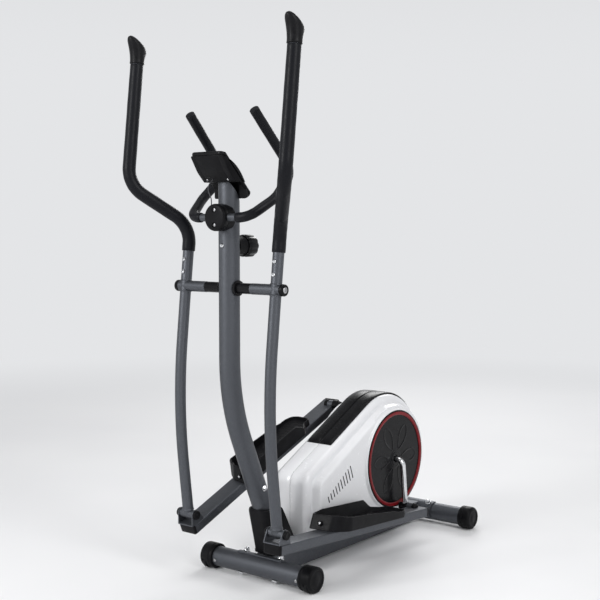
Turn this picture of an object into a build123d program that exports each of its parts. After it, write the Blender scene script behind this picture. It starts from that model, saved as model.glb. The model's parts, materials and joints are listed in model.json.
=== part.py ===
"""Elliptical trainer, rear crank, magnetic brake. Millimetres, +Z up.

X points to the user's left, Y from the front foot towards the rear foot.
The origin is on the floor, under the middle of the machine's outline.
"""
from build123d import *
import os
from math import asin, atan2, cos, hypot, radians, sin, tan

os.makedirs("parts", exist_ok=True)

HANDS = (("left", 1), ("right", -1))

# Feet and beam
FRONT_Y = -318.5            # axis of the front foot tube
REAR_Y = 537.5              # axis of the rear foot tube
FOOT_Z = 38.0               # height of both foot axes, and the radius of their end caps
FOOT_R = 30.0
TUBE_WALL = 2.0
FRONT_FOOT_HALF = 211.5     # half the length over the end caps
REAR_FOOT_HALF = 239.5
CAP_LENGTH = 45.0
FOOT_TUBE_INSET = 25.0      # how far the tube stops short of the cap's outer face
WHEEL_R = 22.0
WHEEL_DY = -14.0
WHEEL_Z = 24.0
BEAM_HALF = 31.0
BEAM_Z0 = 7.0
BEAM_Z1 = 69.0
SADDLE_HALF = 84.0
FOOT_BOLT_X = 66.0
FOOT_BOLT_TILT = 25.0

# Upright post
POST_Y = -450.5
POST_R = 30.0
POST_TOP = 1178.0           # front edge of the slanted top
POST_TOP_REAR = 1100.0
POST_CORNER_Z = 545.0       # where the straight run and the sloped run would meet
POST_SLOPE = 0.435          # rearward travel for each millimetre down
POST_BEND_R = 600.0

# Swing arms
PIVOT_Z = 872.5
ARM_X = 170.0
ARM_R = 16.0
HUB_R = 15.7
HUB_IN = 85.0
HUB_OUT = 190.6
AXLE_R = 9.0
PIN_Y = POST_Y + 4.0        # lower pin of each swing arm
PIN_Z = 196.5
ARM_LEAN = 0.107            # forward travel of the upper run for each millimetre down
ARM_RETURN = 0.12           # rearward travel of the lower run for each millimetre down
ARM_BEND_R = 1600.0
RUN = 0.05                  # radial running clearance
HANDLE_LEAN = 0.115         # rearward travel of the handle's lower run for each millimetre up
GRIP_CAP_R = 20.5           # rubber cap at the top of each handle
GRIP_CAP_REACH = 46.0       # length of tube inside the cap

# Crank
CRANK_Y = 255.5
CRANK_Z = 277.0
CRANK_R = 160.0
CRANK_ROD_R = 9.0
CRANK_X = 129.0             # plane of each crank arm
CRANK_EYE_R = 15.0
CRANK_EYE_T = 18.0
DISC_R = 160.0
DISC_X0 = 96.5
DISC_X1 = 103.5
DISC_FACE = 101.5            # floor of the recess inside the disc's rim
RING_R0 = 147.0
RING_R1 = 156.5

# Both swing arms hang plumb when the crank lies square to the line of centres
CRANK_ANGLE = atan2(CRANK_Z - PIN_Z, CRANK_Y - PIN_Y)
LINK = hypot(hypot(CRANK_Y - PIN_Y, CRANK_Z - PIN_Z), CRANK_R)

# Pedal arms, in their own frame: x as above, y along the tube, z square to its top
ARM_TOP = -27.0             # top of the tube below the front pin
TUBE_W = 60.0
TUBE_H = 30.0
REAR_PIN_RISE = -1.2        # rear pin above the top of the tube
ARM_DIP = asin((-ARM_TOP - REAR_PIN_RISE) / LINK)
REAR_PIN_U = LINK * cos(ARM_DIP)
REAR_PIN_W = ARM_TOP + REAR_PIN_RISE
ARM_U0 = -14.0
ARM_U1 = REAR_PIN_U + 24.0
BUSH_X0 = CRANK_X + CRANK_EYE_T / 2 + 1.5
BUSH_X1 = 160.0
CLEVIS_HALF = 29.5
CLEVIS_T = 4.0

# Foot pedals
PEDAL_X0 = 115.0            # inner side of the tray
PEDAL_X1 = 228.0            # outer side
PEDAL_HEEL_X = 139.5        # inner side of the heel part, clear of the crank
PEDAL_U0 = 212.0
PEDAL_STEP_U = 528.0        # where the tray narrows to the heel part
PEDAL_U1 = 594.0
PEDAL_WALL = 5.5
PEDAL_FLOOR = 10.0

# Housing
SHELL_Y = CRANK_Y + 8.0     # centre of the round rear end
SHELL_Z = 280.0
SHELL_R = 205.0
SHELL_HALF = 64.0
SHELL_EDGE_R = 17.0
PANEL_OUT = 94.0
PANEL_INSET = 26.0
SHELL_WALL = 3.0
SHELL_FLOOR = SHELL_Z - SHELL_R
NOSE_Y = CRANK_Y - 434.0
NOSE_R = 45.0
ROOF_ANGLE = 27.0
COVER_HALF = 47.0
COVER_T = 5.0

# Drive, between two frame plates
PLATE_IN = 28.0
PLATE_OUT = 33.0
PLATE_END = CRANK_Y + 45.0  # rear edge of both plates
FLY_Y = CRANK_Y - 290.0
FLY_Z = 178.0
FLY_R = 92.0
PULLEY_R = 110.0
SHEAVE_R = 20.0
BELT_X0 = 9.0
BELT_X1 = 19.0
BELT_T = 3.0
BELT_GAP = 0.3

# Fixed handlebar
BAR_Z = 1070.0
BAR_Y = POST_Y - 41.5
BAR_R = 11.0
GRIP_R = 14.0
CLAMP_R = 38.0

# Tension knob
KNOB_Z = 990.0
KNOB_R = 33.0

# Console
CONSOLE_HALF = 60.0


def cylinder_x(x0, x1, y, z, r, mode=Mode.ADD):
    """A cylinder along X between two planes."""
    with Locations(Location(((x0 + x1) / 2, y, z), (0, 90, 0))):
        Cylinder(r, abs(x1 - x0), mode=mode)


def cylinder_y(y0, y1, x, z, r, mode=Mode.ADD):
    """A cylinder along Y between two planes."""
    with Locations(Location((x, (y0 + y1) / 2, z), (90, 0, 0))):
        Cylinder(r, abs(y1 - y0), mode=mode)


def block(x0, x1, y0, y1, z0, z1, mode=Mode.ADD):
    """A box between two corners."""
    with Locations(((x0 + x1) / 2, (y0 + y1) / 2, (z0 + z1) / 2)):
        Box(abs(x1 - x0), abs(y1 - y0), abs(z1 - z0), mode=mode)


def side_plane(x):
    """A plane facing +X, whose sketch axes are Y and Z."""
    return Plane(origin=(x, 0, 0), x_dir=(0, 1, 0), z_dir=(1, 0, 0))


def start_plane(line):
    """The plane square to a path at its first point."""
    return Plane(origin=line @ 0, z_dir=line % 0)


# ---------------------------------------------------------------- beam and feet
with BuildPart() as beam:
    block(-BEAM_HALF, BEAM_HALF, FRONT_Y + 20, REAR_Y - 20, BEAM_Z0, BEAM_Z1)
    fillet(beam.edges().filter_by(Axis.Y), 4)
    block(-BEAM_HALF + 2.5, BEAM_HALF - 2.5, FRONT_Y + 60, REAR_Y - 60,
          BEAM_Z0 + 2.5, BEAM_Z1 - 2.5, mode=Mode.SUBTRACT)
    for foot_y, turn in ((FRONT_Y, 1), (REAR_Y, -1)):
        cylinder_x(-SADDLE_HALF, SADDLE_HALF, foot_y, FOOT_Z, FOOT_R + 4)
        block(-SADDLE_HALF, SADDLE_HALF, foot_y - turn * 60, foot_y - turn * 6, 0, 120, mode=Mode.SUBTRACT)
        block(-SADDLE_HALF, SADDLE_HALF, foot_y - 60, foot_y + 60, -40, FOOT_Z - 20, mode=Mode.SUBTRACT)
        cylinder_x(-SADDLE_HALF - 1, SADDLE_HALF + 1, foot_y, FOOT_Z, FOOT_R + 0.05, mode=Mode.SUBTRACT)
    for side in (-1, 1):
        with BuildSketch(side_plane(side * PLATE_IN)):
            with BuildLine():
                Polyline((FLY_Y - 60, BEAM_Z1 - 1), (FLY_Y - 40, FLY_Z + 40), (FLY_Y + 10, FLY_Z + 122),
                         (FLY_Y + 60, FLY_Z + 122), (CRANK_Y - 60, CRANK_Z + 40), (CRANK_Y, CRANK_Z + 42),
                         (PLATE_END, CRANK_Z + 20), (PLATE_END, BEAM_Z1 - 1), close=True)
            make_face()
        extrude(amount=side * (PLATE_OUT - PLATE_IN))
    block(-BEAM_HALF - 4, BEAM_HALF + 4, FLY_Y - 60, PLATE_END, BEAM_Z1 - 1, BEAM_Z1 + 4)
    cylinder_x(-40, 40, CRANK_Y, CRANK_Z, 17.52, mode=Mode.SUBTRACT)
    cylinder_x(-40, 40, FLY_Y, FLY_Z, 8.02, mode=Mode.SUBTRACT)
    cylinder_x(-40, 40, FLY_Y + 34.5, FLY_Z + 95, 5.08, mode=Mode.SUBTRACT)
    for foot_y, turn in ((FRONT_Y, 1), (REAR_Y, -1)):
        with Locations(*[Location((x, foot_y, FOOT_Z), (-turn * FOOT_BOLT_TILT, 0, 0))
                         for x in (-FOOT_BOLT_X, FOOT_BOLT_X)]):
            Cylinder(4.2, 60, align=(Align.CENTER, Align.CENTER, Align.MIN), mode=Mode.SUBTRACT)
beam.part.label = "main_beam"
export_step(beam.part, "parts/main_beam.step")

for name, foot_y, half, turn in (("front_stabiliser", FRONT_Y, FRONT_FOOT_HALF, 1),
                                 ("rear_stabiliser", REAR_Y, REAR_FOOT_HALF, -1)):
    reach = half - FOOT_TUBE_INSET
    with BuildPart() as foot:
        cylinder_x(-reach, reach, foot_y, FOOT_Z, FOOT_R)
        cylinder_x(-reach, reach, foot_y, FOOT_Z, FOOT_R - TUBE_WALL, mode=Mode.SUBTRACT)
        with Locations(*[Location((x, foot_y, FOOT_Z), (-turn * FOOT_BOLT_TILT, 0, 0))
                         for x in (-FOOT_BOLT_X, FOOT_BOLT_X)]):
            Cylinder(4.2, 90, mode=Mode.SUBTRACT)
    foot.part.label = name
    export_step(foot.part, f"parts/{name}.step")

with BuildPart() as foot_bolts:
    for foot_y, turn in ((FRONT_Y, 1), (REAR_Y, -1)):
        for x in (-FOOT_BOLT_X, FOOT_BOLT_X):
            axis = Plane(Location((x, foot_y, FOOT_Z), (-turn * FOOT_BOLT_TILT, 0, 0)))
            # Carriage bolt: domed head below, shank through the tube and the saddle
            with BuildSketch(axis.offset(-FOOT_R - 4.2)):
                Circle(9.5)
            extrude(amount=3.4, taper=0)
            with BuildSketch(axis.offset(-FOOT_R - 0.9)):
                Circle(4)
            extrude(amount=2 * FOOT_R + 15)
            with BuildSketch(axis.offset(-FOOT_R - 4.2)):
                Circle(9.5)
            extrude(amount=-2.4, taper=35)
            # Cap nut on a washer, on top of the saddle
            with BuildSketch(axis.offset(FOOT_R + 5.2)):
                Circle(9)
            extrude(amount=1.6)
            with BuildSketch(axis.offset(FOOT_R + 6.8)):
                RegularPolygon(7.5, 6)
            extrude(amount=6.5)
            with BuildSketch(axis.offset(FOOT_R + 13.3)):
                Circle(6)
            extrude(amount=4.5, taper=25)
foot_bolts.part.label = "stabiliser_bolts"
export_step(foot_bolts.part, "parts/stabiliser_bolts.step")

with BuildPart() as front_caps:
    for side in (-1, 1):
        outer = side * FRONT_FOOT_HALF
        inner = side * (FRONT_FOOT_HALF - CAP_LENGTH)
        cylinder_x(inner, outer, FRONT_Y, FOOT_Z, FOOT_Z)
        block(inner, outer, FRONT_Y - 16, FRONT_Y + 16, 0, 8)
        cylinder_x(inner, side * (FRONT_FOOT_HALF - FOOT_TUBE_INSET), FRONT_Y, FOOT_Z, FOOT_R + 0.1,
                   mode=Mode.SUBTRACT)
        slot = side * (FRONT_FOOT_HALF - 16.5)
        cylinder_x(slot - 7, slot + 7, FRONT_Y + WHEEL_DY, WHEEL_Z, WHEEL_R + 1.5, mode=Mode.SUBTRACT)
        cylinder_x(slot - 12, slot + 12, FRONT_Y + WHEEL_DY, WHEEL_Z, 4.08, mode=Mode.SUBTRACT)
        rim = front_caps.edges().filter_by(GeomType.CIRCLE).group_by(Axis.X)[-1 if side > 0 else 0]
        fillet(rim.filter_by(lambda e: e.radius > 30), 5)
front_caps.part.label = "front_end_caps"
export_step(front_caps.part, "parts/front_end_caps.step")

for hand, side in HANDS:
    slot = side * (FRONT_FOOT_HALF - 16.5)
    with BuildPart() as wheel:
        cylinder_x(slot - 6, slot + 6, FRONT_Y + WHEEL_DY, WHEEL_Z, WHEEL_R)
        fillet(wheel.edges(), 2)
        cylinder_x(slot - 11, slot + 11, FRONT_Y + WHEEL_DY, WHEEL_Z, 4)
    wheel.part.label = f"transport_wheel_{hand}"
    export_step(wheel.part, f"parts/transport_wheel_{hand}.step")

    with BuildPart() as level_cap:
        outer = side * REAR_FOOT_HALF
        cylinder_x(side * (REAR_FOOT_HALF - CAP_LENGTH), outer, REAR_Y, FOOT_Z, FOOT_Z)
        rims = level_cap.edges().filter_by(GeomType.CIRCLE).group_by(Axis.X)
        fillet(rims[-1 if side > 0 else 0], 8)
        fillet(level_cap.edges().filter_by(GeomType.CIRCLE).group_by(Axis.X)[0 if side > 0 else -1], 4)
        cylinder_x(side * (REAR_FOOT_HALF - CAP_LENGTH), side * (REAR_FOOT_HALF - FOOT_TUBE_INSET + 1),
                   REAR_Y, FOOT_Z, FOOT_R + 0.08, mode=Mode.SUBTRACT)
    level_cap.part.label = f"levelling_cap_{hand}"
    export_step(level_cap.part, f"parts/levelling_cap_{hand}.step")

# ---------------------------------------------------------------- upright post
POST_FOOT_Y = POST_Y + (POST_CORNER_Z - 30.0) * POST_SLOPE
with BuildPart() as post:
    with BuildLine() as post_path:
        FilletPolyline((0, POST_FOOT_Y, 30), (0, POST_Y, POST_CORNER_Z), (0, POST_Y, POST_TOP),
                       radius=POST_BEND_R)
    with BuildSketch(start_plane(post_path.line)):
        Circle(POST_R)
        Circle(POST_R - TUBE_WALL, mode=Mode.SUBTRACT)
    sweep()
    split(bisect_by=Plane.XY.offset(BEAM_Z1), keep=Keep.TOP)
    split(bisect_by=Plane(origin=(0, POST_Y, (POST_TOP + POST_TOP_REAR) / 2), x_dir=(1, 0, 0),
                          z_dir=(0, POST_TOP - POST_TOP_REAR, 2 * POST_R)), keep=Keep.BOTTOM)
    cylinder_x(-60, 60, POST_Y, PIVOT_Z, AXLE_R + 0.02, mode=Mode.SUBTRACT)
post.part.label = "upright_post"
export_step(post.part, "parts/upright_post.step")


def post_centre(z):
    """Y of the post's axis on its sloped run."""
    return POST_Y + (POST_CORNER_Z - z) * POST_SLOPE


BOLT_Z = 281.0
with BuildPart() as post_bolts:
    for side in (-1, 1):
        cylinder_x(side * (POST_R + 0.02), side * (POST_R + 2), post_centre(BOLT_Z), BOLT_Z, 8.5)
        cylinder_x(side * (POST_R + 2), side * (POST_R + 7), post_centre(BOLT_Z), BOLT_Z, 6.5)
    cylinder_y(POST_Y - POST_R - 4.5, POST_Y - POST_R - 0.05, 0, KNOB_Z + 2, 6)
post_bolts.part.label = "post_bolts"
export_step(post_bolts.part, "parts/post_bolts.step")

# Plastic cover round the foot of the post
COVER_Z0 = 75.0
COVER_Z1 = 214.0
FOOT_COVER_HALF = 42.0
with BuildPart() as base_cover:
    with BuildSketch(side_plane(-FOOT_COVER_HALF)):
        with BuildLine():
            Polyline((FRONT_Y - 27, COVER_Z1), (FRONT_Y + 8, COVER_Z0), (FRONT_Y + 136, COVER_Z0),
                     (FRONT_Y + 58, COVER_Z1), close=True)
        make_face()
    extrude(amount=2 * FOOT_COVER_HALF)
    front = base_cover.faces().sort_by(Axis.Y)[0].edges().filter_by(lambda e: abs(e.center().X) > 10)
    chamfer(front, length=17)
    fillet(base_cover.edges().group_by(Axis.Z)[-1], 3)
    with BuildLine() as cover_bore:
        Line((0, post_centre(COVER_Z0 - 20), COVER_Z0 - 20), (0, post_centre(COVER_Z1 + 20), COVER_Z1 + 20))
    with BuildSketch(start_plane(cover_bore.line)):
        Circle(POST_R + 0.3)
    sweep(path=cover_bore.line, mode=Mode.SUBTRACT)
base_cover.part.label = "base_cover"
export_step(base_cover.part, "parts/base_cover.step")

# ---------------------------------------------------------------- swing axle
with BuildPart() as axle:
    cylinder_x(-HUB_OUT - 8, HUB_OUT + 8, POST_Y, PIVOT_Z, AXLE_R)
axle.part.label = "swing_axle"
export_step(axle.part, "parts/swing_axle.step")

with BuildPart() as spacers:
    for side in (-1, 1):
        cylinder_x(side * (POST_R + 0.3), side * (HUB_IN - 0.4), POST_Y, PIVOT_Z, HUB_R - 0.5)
    cylinder_x(POST_R + 0.3, POST_R + 7, POST_Y, PIVOT_Z, 22)
    cylinder_x(-HUB_IN, HUB_IN, POST_Y, PIVOT_Z, AXLE_R + 0.02, mode=Mode.SUBTRACT)
spacers.part.label = "axle_spacers"
export_step(spacers.part, "parts/axle_spacers.step")

with BuildPart() as axle_caps:
    for side in (-1, 1):
        outer = side * (HUB_OUT + 12.4)
        cylinder_x(side * (HUB_OUT + 0.4), outer, POST_Y, PIVOT_Z, HUB_R + 1)
        rim = axle_caps.edges().group_by(Axis.X)[-1 if side > 0 else 0]
        fillet(rim, 2.5)
        cylinder_x(side * HUB_OUT, side * (HUB_OUT + 8), POST_Y, PIVOT_Z, AXLE_R + 0.02, mode=Mode.SUBTRACT)
axle_caps.part.label = "axle_caps"
export_step(axle_caps.part, "parts/axle_caps.step")

# ---------------------------------------------------------------- swing arms
ARM_CORNER_Z = ((PIN_Y + ARM_RETURN * PIN_Z) - (POST_Y - ARM_LEAN * PIVOT_Z)) / (ARM_LEAN + ARM_RETURN)
ARM_CORNER_Y = POST_Y - ARM_LEAN * (PIVOT_Z - ARM_CORNER_Z)
LUG_HALF = CLEVIS_HALF - CLEVIS_T - 0.7
STUB_TOP = PIVOT_Z + 88.0
JOINT_Z = PIVOT_Z + 17.0    # where the handle tube starts on its stub


def handle_y(z):
    """Y of the handle's axis on its lower run."""
    return POST_Y + HANDLE_LEAN * (z - PIVOT_Z)


for hand, side in HANDS:
    x = side * ARM_X
    with BuildPart() as swing:
        with BuildLine() as swing_path:
            FilletPolyline((x, POST_Y, PIVOT_Z), (x, ARM_CORNER_Y, ARM_CORNER_Z), (x, PIN_Y, PIN_Z),
                           radius=ARM_BEND_R)
        with BuildSketch(start_plane(swing_path.line)):
            Circle(ARM_R)
            Circle(ARM_R - TUBE_WALL, mode=Mode.SUBTRACT)
        sweep()
        with BuildLine() as stub_path:
            Line((x, POST_Y, PIVOT_Z), (x, handle_y(STUB_TOP), STUB_TOP))
        with BuildSketch(start_plane(stub_path.line)):
            Circle(ARM_R - TUBE_WALL - 0.1)
            Circle(ARM_R - 2 * TUBE_WALL, mode=Mode.SUBTRACT)
        sweep(path=stub_path.line)
        with BuildSketch(start_plane(stub_path.line)):
            Circle(ARM_R)
        extrude(amount=JOINT_Z - PIVOT_Z - 1)
        cylinder_x(side * HUB_IN, side * HUB_OUT, POST_Y, PIVOT_Z, HUB_R)
        cylinder_x(side * (HUB_IN - 1), side * (HUB_OUT + 1), POST_Y, PIVOT_Z, AXLE_R + RUN,
                   mode=Mode.SUBTRACT)
        cylinder_x(x - LUG_HALF, x + LUG_HALF, PIN_Y, PIN_Z, 13)
        cylinder_x(x - LUG_HALF - 1, x + LUG_HALF + 1, PIN_Y, PIN_Z, 6 + RUN, mode=Mode.SUBTRACT)
    swing.part.label = f"swing_arm_{hand}"
    export_step(swing.part, f"parts/swing_arm_{hand}.step")

    # Handle: up from the stub, out and forward, then up again, leaning back a little
    with BuildLine() as handle_path:
        FilletPolyline((x, handle_y(JOINT_Z), JOINT_Z),
                       (x, handle_y(1047), 1047),
                       (side * 291, POST_Y - 111.5, 1164.5),
                       (side * 291, POST_Y - 66, 1559),
                       radius=88)
    with BuildPart() as handle:
        with BuildSketch(start_plane(handle_path.line)):
            Circle(ARM_R)
            Circle(ARM_R - TUBE_WALL, mode=Mode.SUBTRACT)
        sweep(path=handle_path.line)
    handle.part.label = f"handle_tube_{hand}"
    export_step(handle.part, f"parts/handle_tube_{hand}.step")

    # Foam sleeve over the handle, from above the screws to the end cap
    with BuildLine() as grip_path:
        FilletPolyline((x, handle_y(974), 974),
                       (x, handle_y(1047), 1047),
                       (side * 291, POST_Y - 111.5, 1164.5),
                       (side * 291, POST_Y - 71.5, 1511),
                       radius=(88, 88))
    with BuildPart() as grip:
        with BuildSketch(start_plane(grip_path.line)):
            Circle(19)
            Circle(ARM_R + 0.05, mode=Mode.SUBTRACT)
        sweep(path=grip_path.line)
    grip.part.label = f"handle_grip_{hand}"
    export_step(grip.part, f"parts/handle_grip_{hand}.step")

    # Rubber cap over the end of the handle: its top falls towards the user, where it is fullest
    tip = handle_path.line @ 1
    up = handle_path.line % 1
    cap_base = Plane(origin=tip - up * GRIP_CAP_REACH, x_dir=(1, 0, 0), z_dir=up)
    with BuildPart() as handle_cap:
        with BuildSketch(cap_base):
            Circle(GRIP_CAP_R)
        with BuildSketch(Plane(cap_base.location * Location((0, 1.5, 30), (-15, 0, 0)))):
            Ellipse(GRIP_CAP_R, 22)
        with BuildSketch(Plane(cap_base.location * Location((0, 3.5, 61), (-42, 0, 0)))):
            Ellipse(GRIP_CAP_R, 26)
        loft()
        fillet(handle_cap.faces().sort_by(Axis.Z)[-1].edges(), 7)
        with BuildSketch(cap_base):
            Circle(ARM_R + 0.05)
        extrude(amount=GRIP_CAP_REACH + 0.2, mode=Mode.SUBTRACT)
    handle_cap.part.label = f"handle_cap_{hand}"
    export_step(handle_cap.part, f"parts/handle_cap_{hand}.step")

    # Two button-head screws through the handle into the stub, heads in front
    with BuildPart() as handle_screws:
        for z in (PIVOT_Z + 42, PIVOT_Z + 78):
            cylinder_y(handle_y(z) - ARM_R - 4.2, handle_y(z) - ARM_R - 0.8, x, z, 5.5)
    handle_screws.part.label = f"handle_screws_{hand}"
    export_step(handle_screws.part, f"parts/handle_screws_{hand}.step")

# ---------------------------------------------------------------- pedal arms
PEDAL_HIGH = 50.0
# Height of each rim above the tube, along the pedal
INNER_RIM = ((PEDAL_U0 - 20, 0), (PEDAL_U0 + 22, 46), (PEDAL_U0 + 60, 49), (492, 48), (PEDAL_STEP_U, 22),
             (PEDAL_U1 + 20, 17))
OUTER_RIM = ((PEDAL_U0 - 20, 90), (PEDAL_U0 + 8, 45), (250, 44), (420, 34), (585, 22), (PEDAL_U1 + 20, 17))


def pedal_outline(inset):
    """The pedal's outline from above as (distance from the middle plane, distance along the arm)."""
    return ((PEDAL_X0 + inset, PEDAL_U0 + 6 + inset), (PEDAL_X0 + inset, PEDAL_STEP_U - 4),
            (PEDAL_HEEL_X + inset, PEDAL_STEP_U + 26), (PEDAL_HEEL_X + inset, PEDAL_U1 - 12),
            (PEDAL_HEEL_X + 12 + inset, PEDAL_U1 - 2 - inset), (PEDAL_X1 - 34, PEDAL_U1 - inset),
            (PEDAL_X1 - 12 - inset / 2, PEDAL_U1 - 8 - inset / 2), (PEDAL_X1 - inset, PEDAL_U1 - 30 - inset),
            (PEDAL_X1 - inset, PEDAL_U0 + 62), (PEDAL_X1 - 11 - inset, PEDAL_U0 + 38 + inset / 2),
            (PEDAL_X1 - 42, PEDAL_U0 + 12 + inset), (PEDAL_X0 + 6 + inset, PEDAL_U0 + inset))


for hand, side in HANDS:
    # The left crank arm points down at rest and the right one up
    rear_y = CRANK_Y + side * CRANK_R * sin(CRANK_ANGLE)
    rear_z = CRANK_Z - side * CRANK_R * cos(CRANK_ANGLE)
    tilt = atan2(rear_z - PIN_Z, rear_y - PIN_Y) + ARM_DIP
    arm = Plane(origin=(0, PIN_Y, PIN_Z), x_dir=(1, 0, 0), z_dir=(0, -sin(tilt), cos(tilt)))
    across = Plane(origin=(0, PIN_Y, PIN_Z), x_dir=(1, 0, 0), z_dir=(0, -cos(tilt), -sin(tilt)))
    x = side * ARM_X
    rear_pin = arm.from_local_coords((0, REAR_PIN_U, REAR_PIN_W))

    with BuildPart() as pedal_arm:
        with BuildSketch(across.offset(-ARM_U0)):
            with Locations((x, ARM_TOP - TUBE_H / 2)):
                RectangleRounded(TUBE_W, TUBE_H, 4)
                RectangleRounded(TUBE_W - 2 * TUBE_WALL, TUBE_H - 2 * TUBE_WALL, 2, mode=Mode.SUBTRACT)
        extrude(amount=-(ARM_U1 - ARM_U0))
        # U-bracket for the front pin
        with BuildSketch(arm.offset(ARM_TOP - 0.01)):
            with Locations((x, 0)):
                Rectangle(2 * CLEVIS_HALF, 54)
        extrude(amount=CLEVIS_T)
        for ear in (-1, 1):
            face = Plane(origin=(x + ear * (CLEVIS_HALF - CLEVIS_T / 2), PIN_Y, PIN_Z),
                         x_dir=arm.y_dir, z_dir=(1, 0, 0))
            with BuildSketch(face.offset(-CLEVIS_T / 2)):
                Circle(15)
                with BuildLine():
                    Polyline((-14.7, 3), (14.7, 3), (25, ARM_TOP + 1), (-25, ARM_TOP + 1), close=True)
                make_face()
            extrude(amount=CLEVIS_T)
        cylinder_x(x - 40, x + 40, PIN_Y, PIN_Z, 6.02, mode=Mode.SUBTRACT)
        # Bush for the crank pin, let into the top of the tube, with a pocket for the pin's cap
        cylinder_x(side * 158, side * 178, rear_pin.Y, rear_pin.Z, 16, mode=Mode.SUBTRACT)
        cylinder_x(side * BUSH_X0, side * BUSH_X1, rear_pin.Y, rear_pin.Z, 13)
        cylinder_x(side * (BUSH_X0 - 1), side * (BUSH_X1 + 1), rear_pin.Y, rear_pin.Z, 6.02,
                   mode=Mode.SUBTRACT)
    pedal_arm.part.label = f"pedal_arm_{hand}"
    export_step(pedal_arm.part, f"parts/pedal_arm_{hand}.step")

    with BuildPart() as plugs:
        for end, way in ((ARM_U0, 1), (ARM_U1, -1)):
            with BuildSketch(across.offset(-end)):
                with Locations((x, ARM_TOP - TUBE_H / 2)):
                    RectangleRounded(TUBE_W - 0.8, TUBE_H - 0.8, 4)
            extrude(amount=way * (8 if way > 0 else 12))
            with BuildSketch(across.offset(-end)):
                with Locations((x, ARM_TOP - TUBE_H / 2)):
                    RectangleRounded(TUBE_W - 2 * TUBE_WALL - 0.1, TUBE_H - 2 * TUBE_WALL - 0.1, 2)
            extrude(amount=-way * 7)
    plugs.part.label = f"arm_plugs_{hand}"
    export_step(plugs.part, f"parts/arm_plugs_{hand}.step")

    # Front bolt: a shank through both ears, with a round plastic cap on each side
    with BuildPart() as clevis_bolt:
        cylinder_x(x - CLEVIS_HALF - 3, x + CLEVIS_HALF + 3, PIN_Y, PIN_Z, 6)
        for ear in (-1, 1):
            cylinder_x(x + ear * (CLEVIS_HALF + 0.05), x + ear * (CLEVIS_HALF + 9), PIN_Y, PIN_Z, 13.5)
            fillet(clevis_bolt.edges().group_by(Axis.X)[-1 if ear > 0 else 0], 3)
    clevis_bolt.part.label = f"clevis_bolt_{hand}"
    export_step(clevis_bolt.part, f"parts/clevis_bolt_{hand}.step")

    with BuildPart() as crank_pin:
        cylinder_x(side * (BUSH_X0 + 0.5), side * (BUSH_X1 + 3), rear_pin.Y, rear_pin.Z, 6)
        cylinder_x(side * (BUSH_X1 + 0.05), side * (BUSH_X1 + 14), rear_pin.Y, rear_pin.Z, 14.7)
        fillet(crank_pin.edges().group_by(Axis.X)[-1 if side > 0 else 0], 4)
    crank_pin.part.label = f"crank_pin_{hand}"
    export_step(crank_pin.part, f"parts/crank_pin_{hand}.step")

    # Foot pedal: a tray that is high in front and inside, and narrows to a low heel part
    with BuildPart() as pedal:
        with BuildSketch(arm.offset(ARM_TOP)):
            with BuildLine():
                Polyline(*[(side * px, pu) for px, pu in pedal_outline(0)], close=True)
            make_face()
        extrude(amount=PEDAL_HIGH)
        fillet(pedal.edges().filter_by(lambda e: abs(e.length - PEDAL_HIGH) < 0.1), 4)
        # The rim follows one line over the inner wall and a lower one over everything outside it
        for rim_x, profile in ((PEDAL_X0 - 1, INNER_RIM), (PEDAL_X0 + PEDAL_WALL + 3, OUTER_RIM)):
            rim = Plane(origin=(side * rim_x, PIN_Y, PIN_Z), x_dir=arm.y_dir, z_dir=(1, 0, 0))
            with BuildSketch(rim):
                with BuildLine():
                    Polyline(*[(pu, ARM_TOP + height) for pu, height in profile],
                             (PEDAL_U1 + 20, ARM_TOP + 90), (PEDAL_U0 - 20, ARM_TOP + 90), close=True)
                make_face()
            extrude(amount=side * (PEDAL_X1 + 1 - rim_x), mode=Mode.SUBTRACT)
        with BuildSketch(arm.offset(ARM_TOP + PEDAL_FLOOR)):
            with BuildLine():
                Polyline(*[(side * px, pu) for px, pu in pedal_outline(PEDAL_WALL)], close=True)
            make_face()
        extrude(amount=PEDAL_HIGH, mode=Mode.SUBTRACT)
    pedal.part.label = f"foot_pedal_{hand}"
    export_step(pedal.part, f"parts/foot_pedal_{hand}.step")

# ---------------------------------------------------------------- crank
LEFT_PIN = (CRANK_Y + CRANK_R * sin(CRANK_ANGLE), CRANK_Z - CRANK_R * cos(CRANK_ANGLE))
RIGHT_PIN = (CRANK_Y - CRANK_R * sin(CRANK_ANGLE), CRANK_Z + CRANK_R * cos(CRANK_ANGLE))
with BuildPart() as crank:
    with BuildLine() as crank_path:
        FilletPolyline((CRANK_X, *LEFT_PIN), (CRANK_X, CRANK_Y, CRANK_Z), (-CRANK_X, CRANK_Y, CRANK_Z),
                       (-CRANK_X, *RIGHT_PIN), radius=22)
    with BuildSketch(start_plane(crank_path.line)):
        Circle(CRANK_ROD_R)
    sweep()
    cylinder_x(CRANK_X - CRANK_EYE_T / 2, CRANK_X + CRANK_EYE_T / 2, *LEFT_PIN, CRANK_EYE_R)
    cylinder_x(-CRANK_X - CRANK_EYE_T / 2, -CRANK_X + CRANK_EYE_T / 2, *RIGHT_PIN, CRANK_EYE_R)
crank.part.label = "crank_shaft"
export_step(crank.part, "parts/crank_shaft.step")

with BuildPart() as crank_nuts:
    for side, (pin_y, pin_z) in ((1, LEFT_PIN), (-1, RIGHT_PIN)):
        face = CRANK_X - CRANK_EYE_T / 2
        cylinder_x(side * (face - 12), side * (face - 0.05), pin_y, pin_z, 12.5)
        fillet(crank_nuts.edges().group_by(Axis.X)[0 if side > 0 else -1], 3)
crank_nuts.part.label = "crank_nuts"
export_step(crank_nuts.part, "parts/crank_nuts.step")

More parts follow.
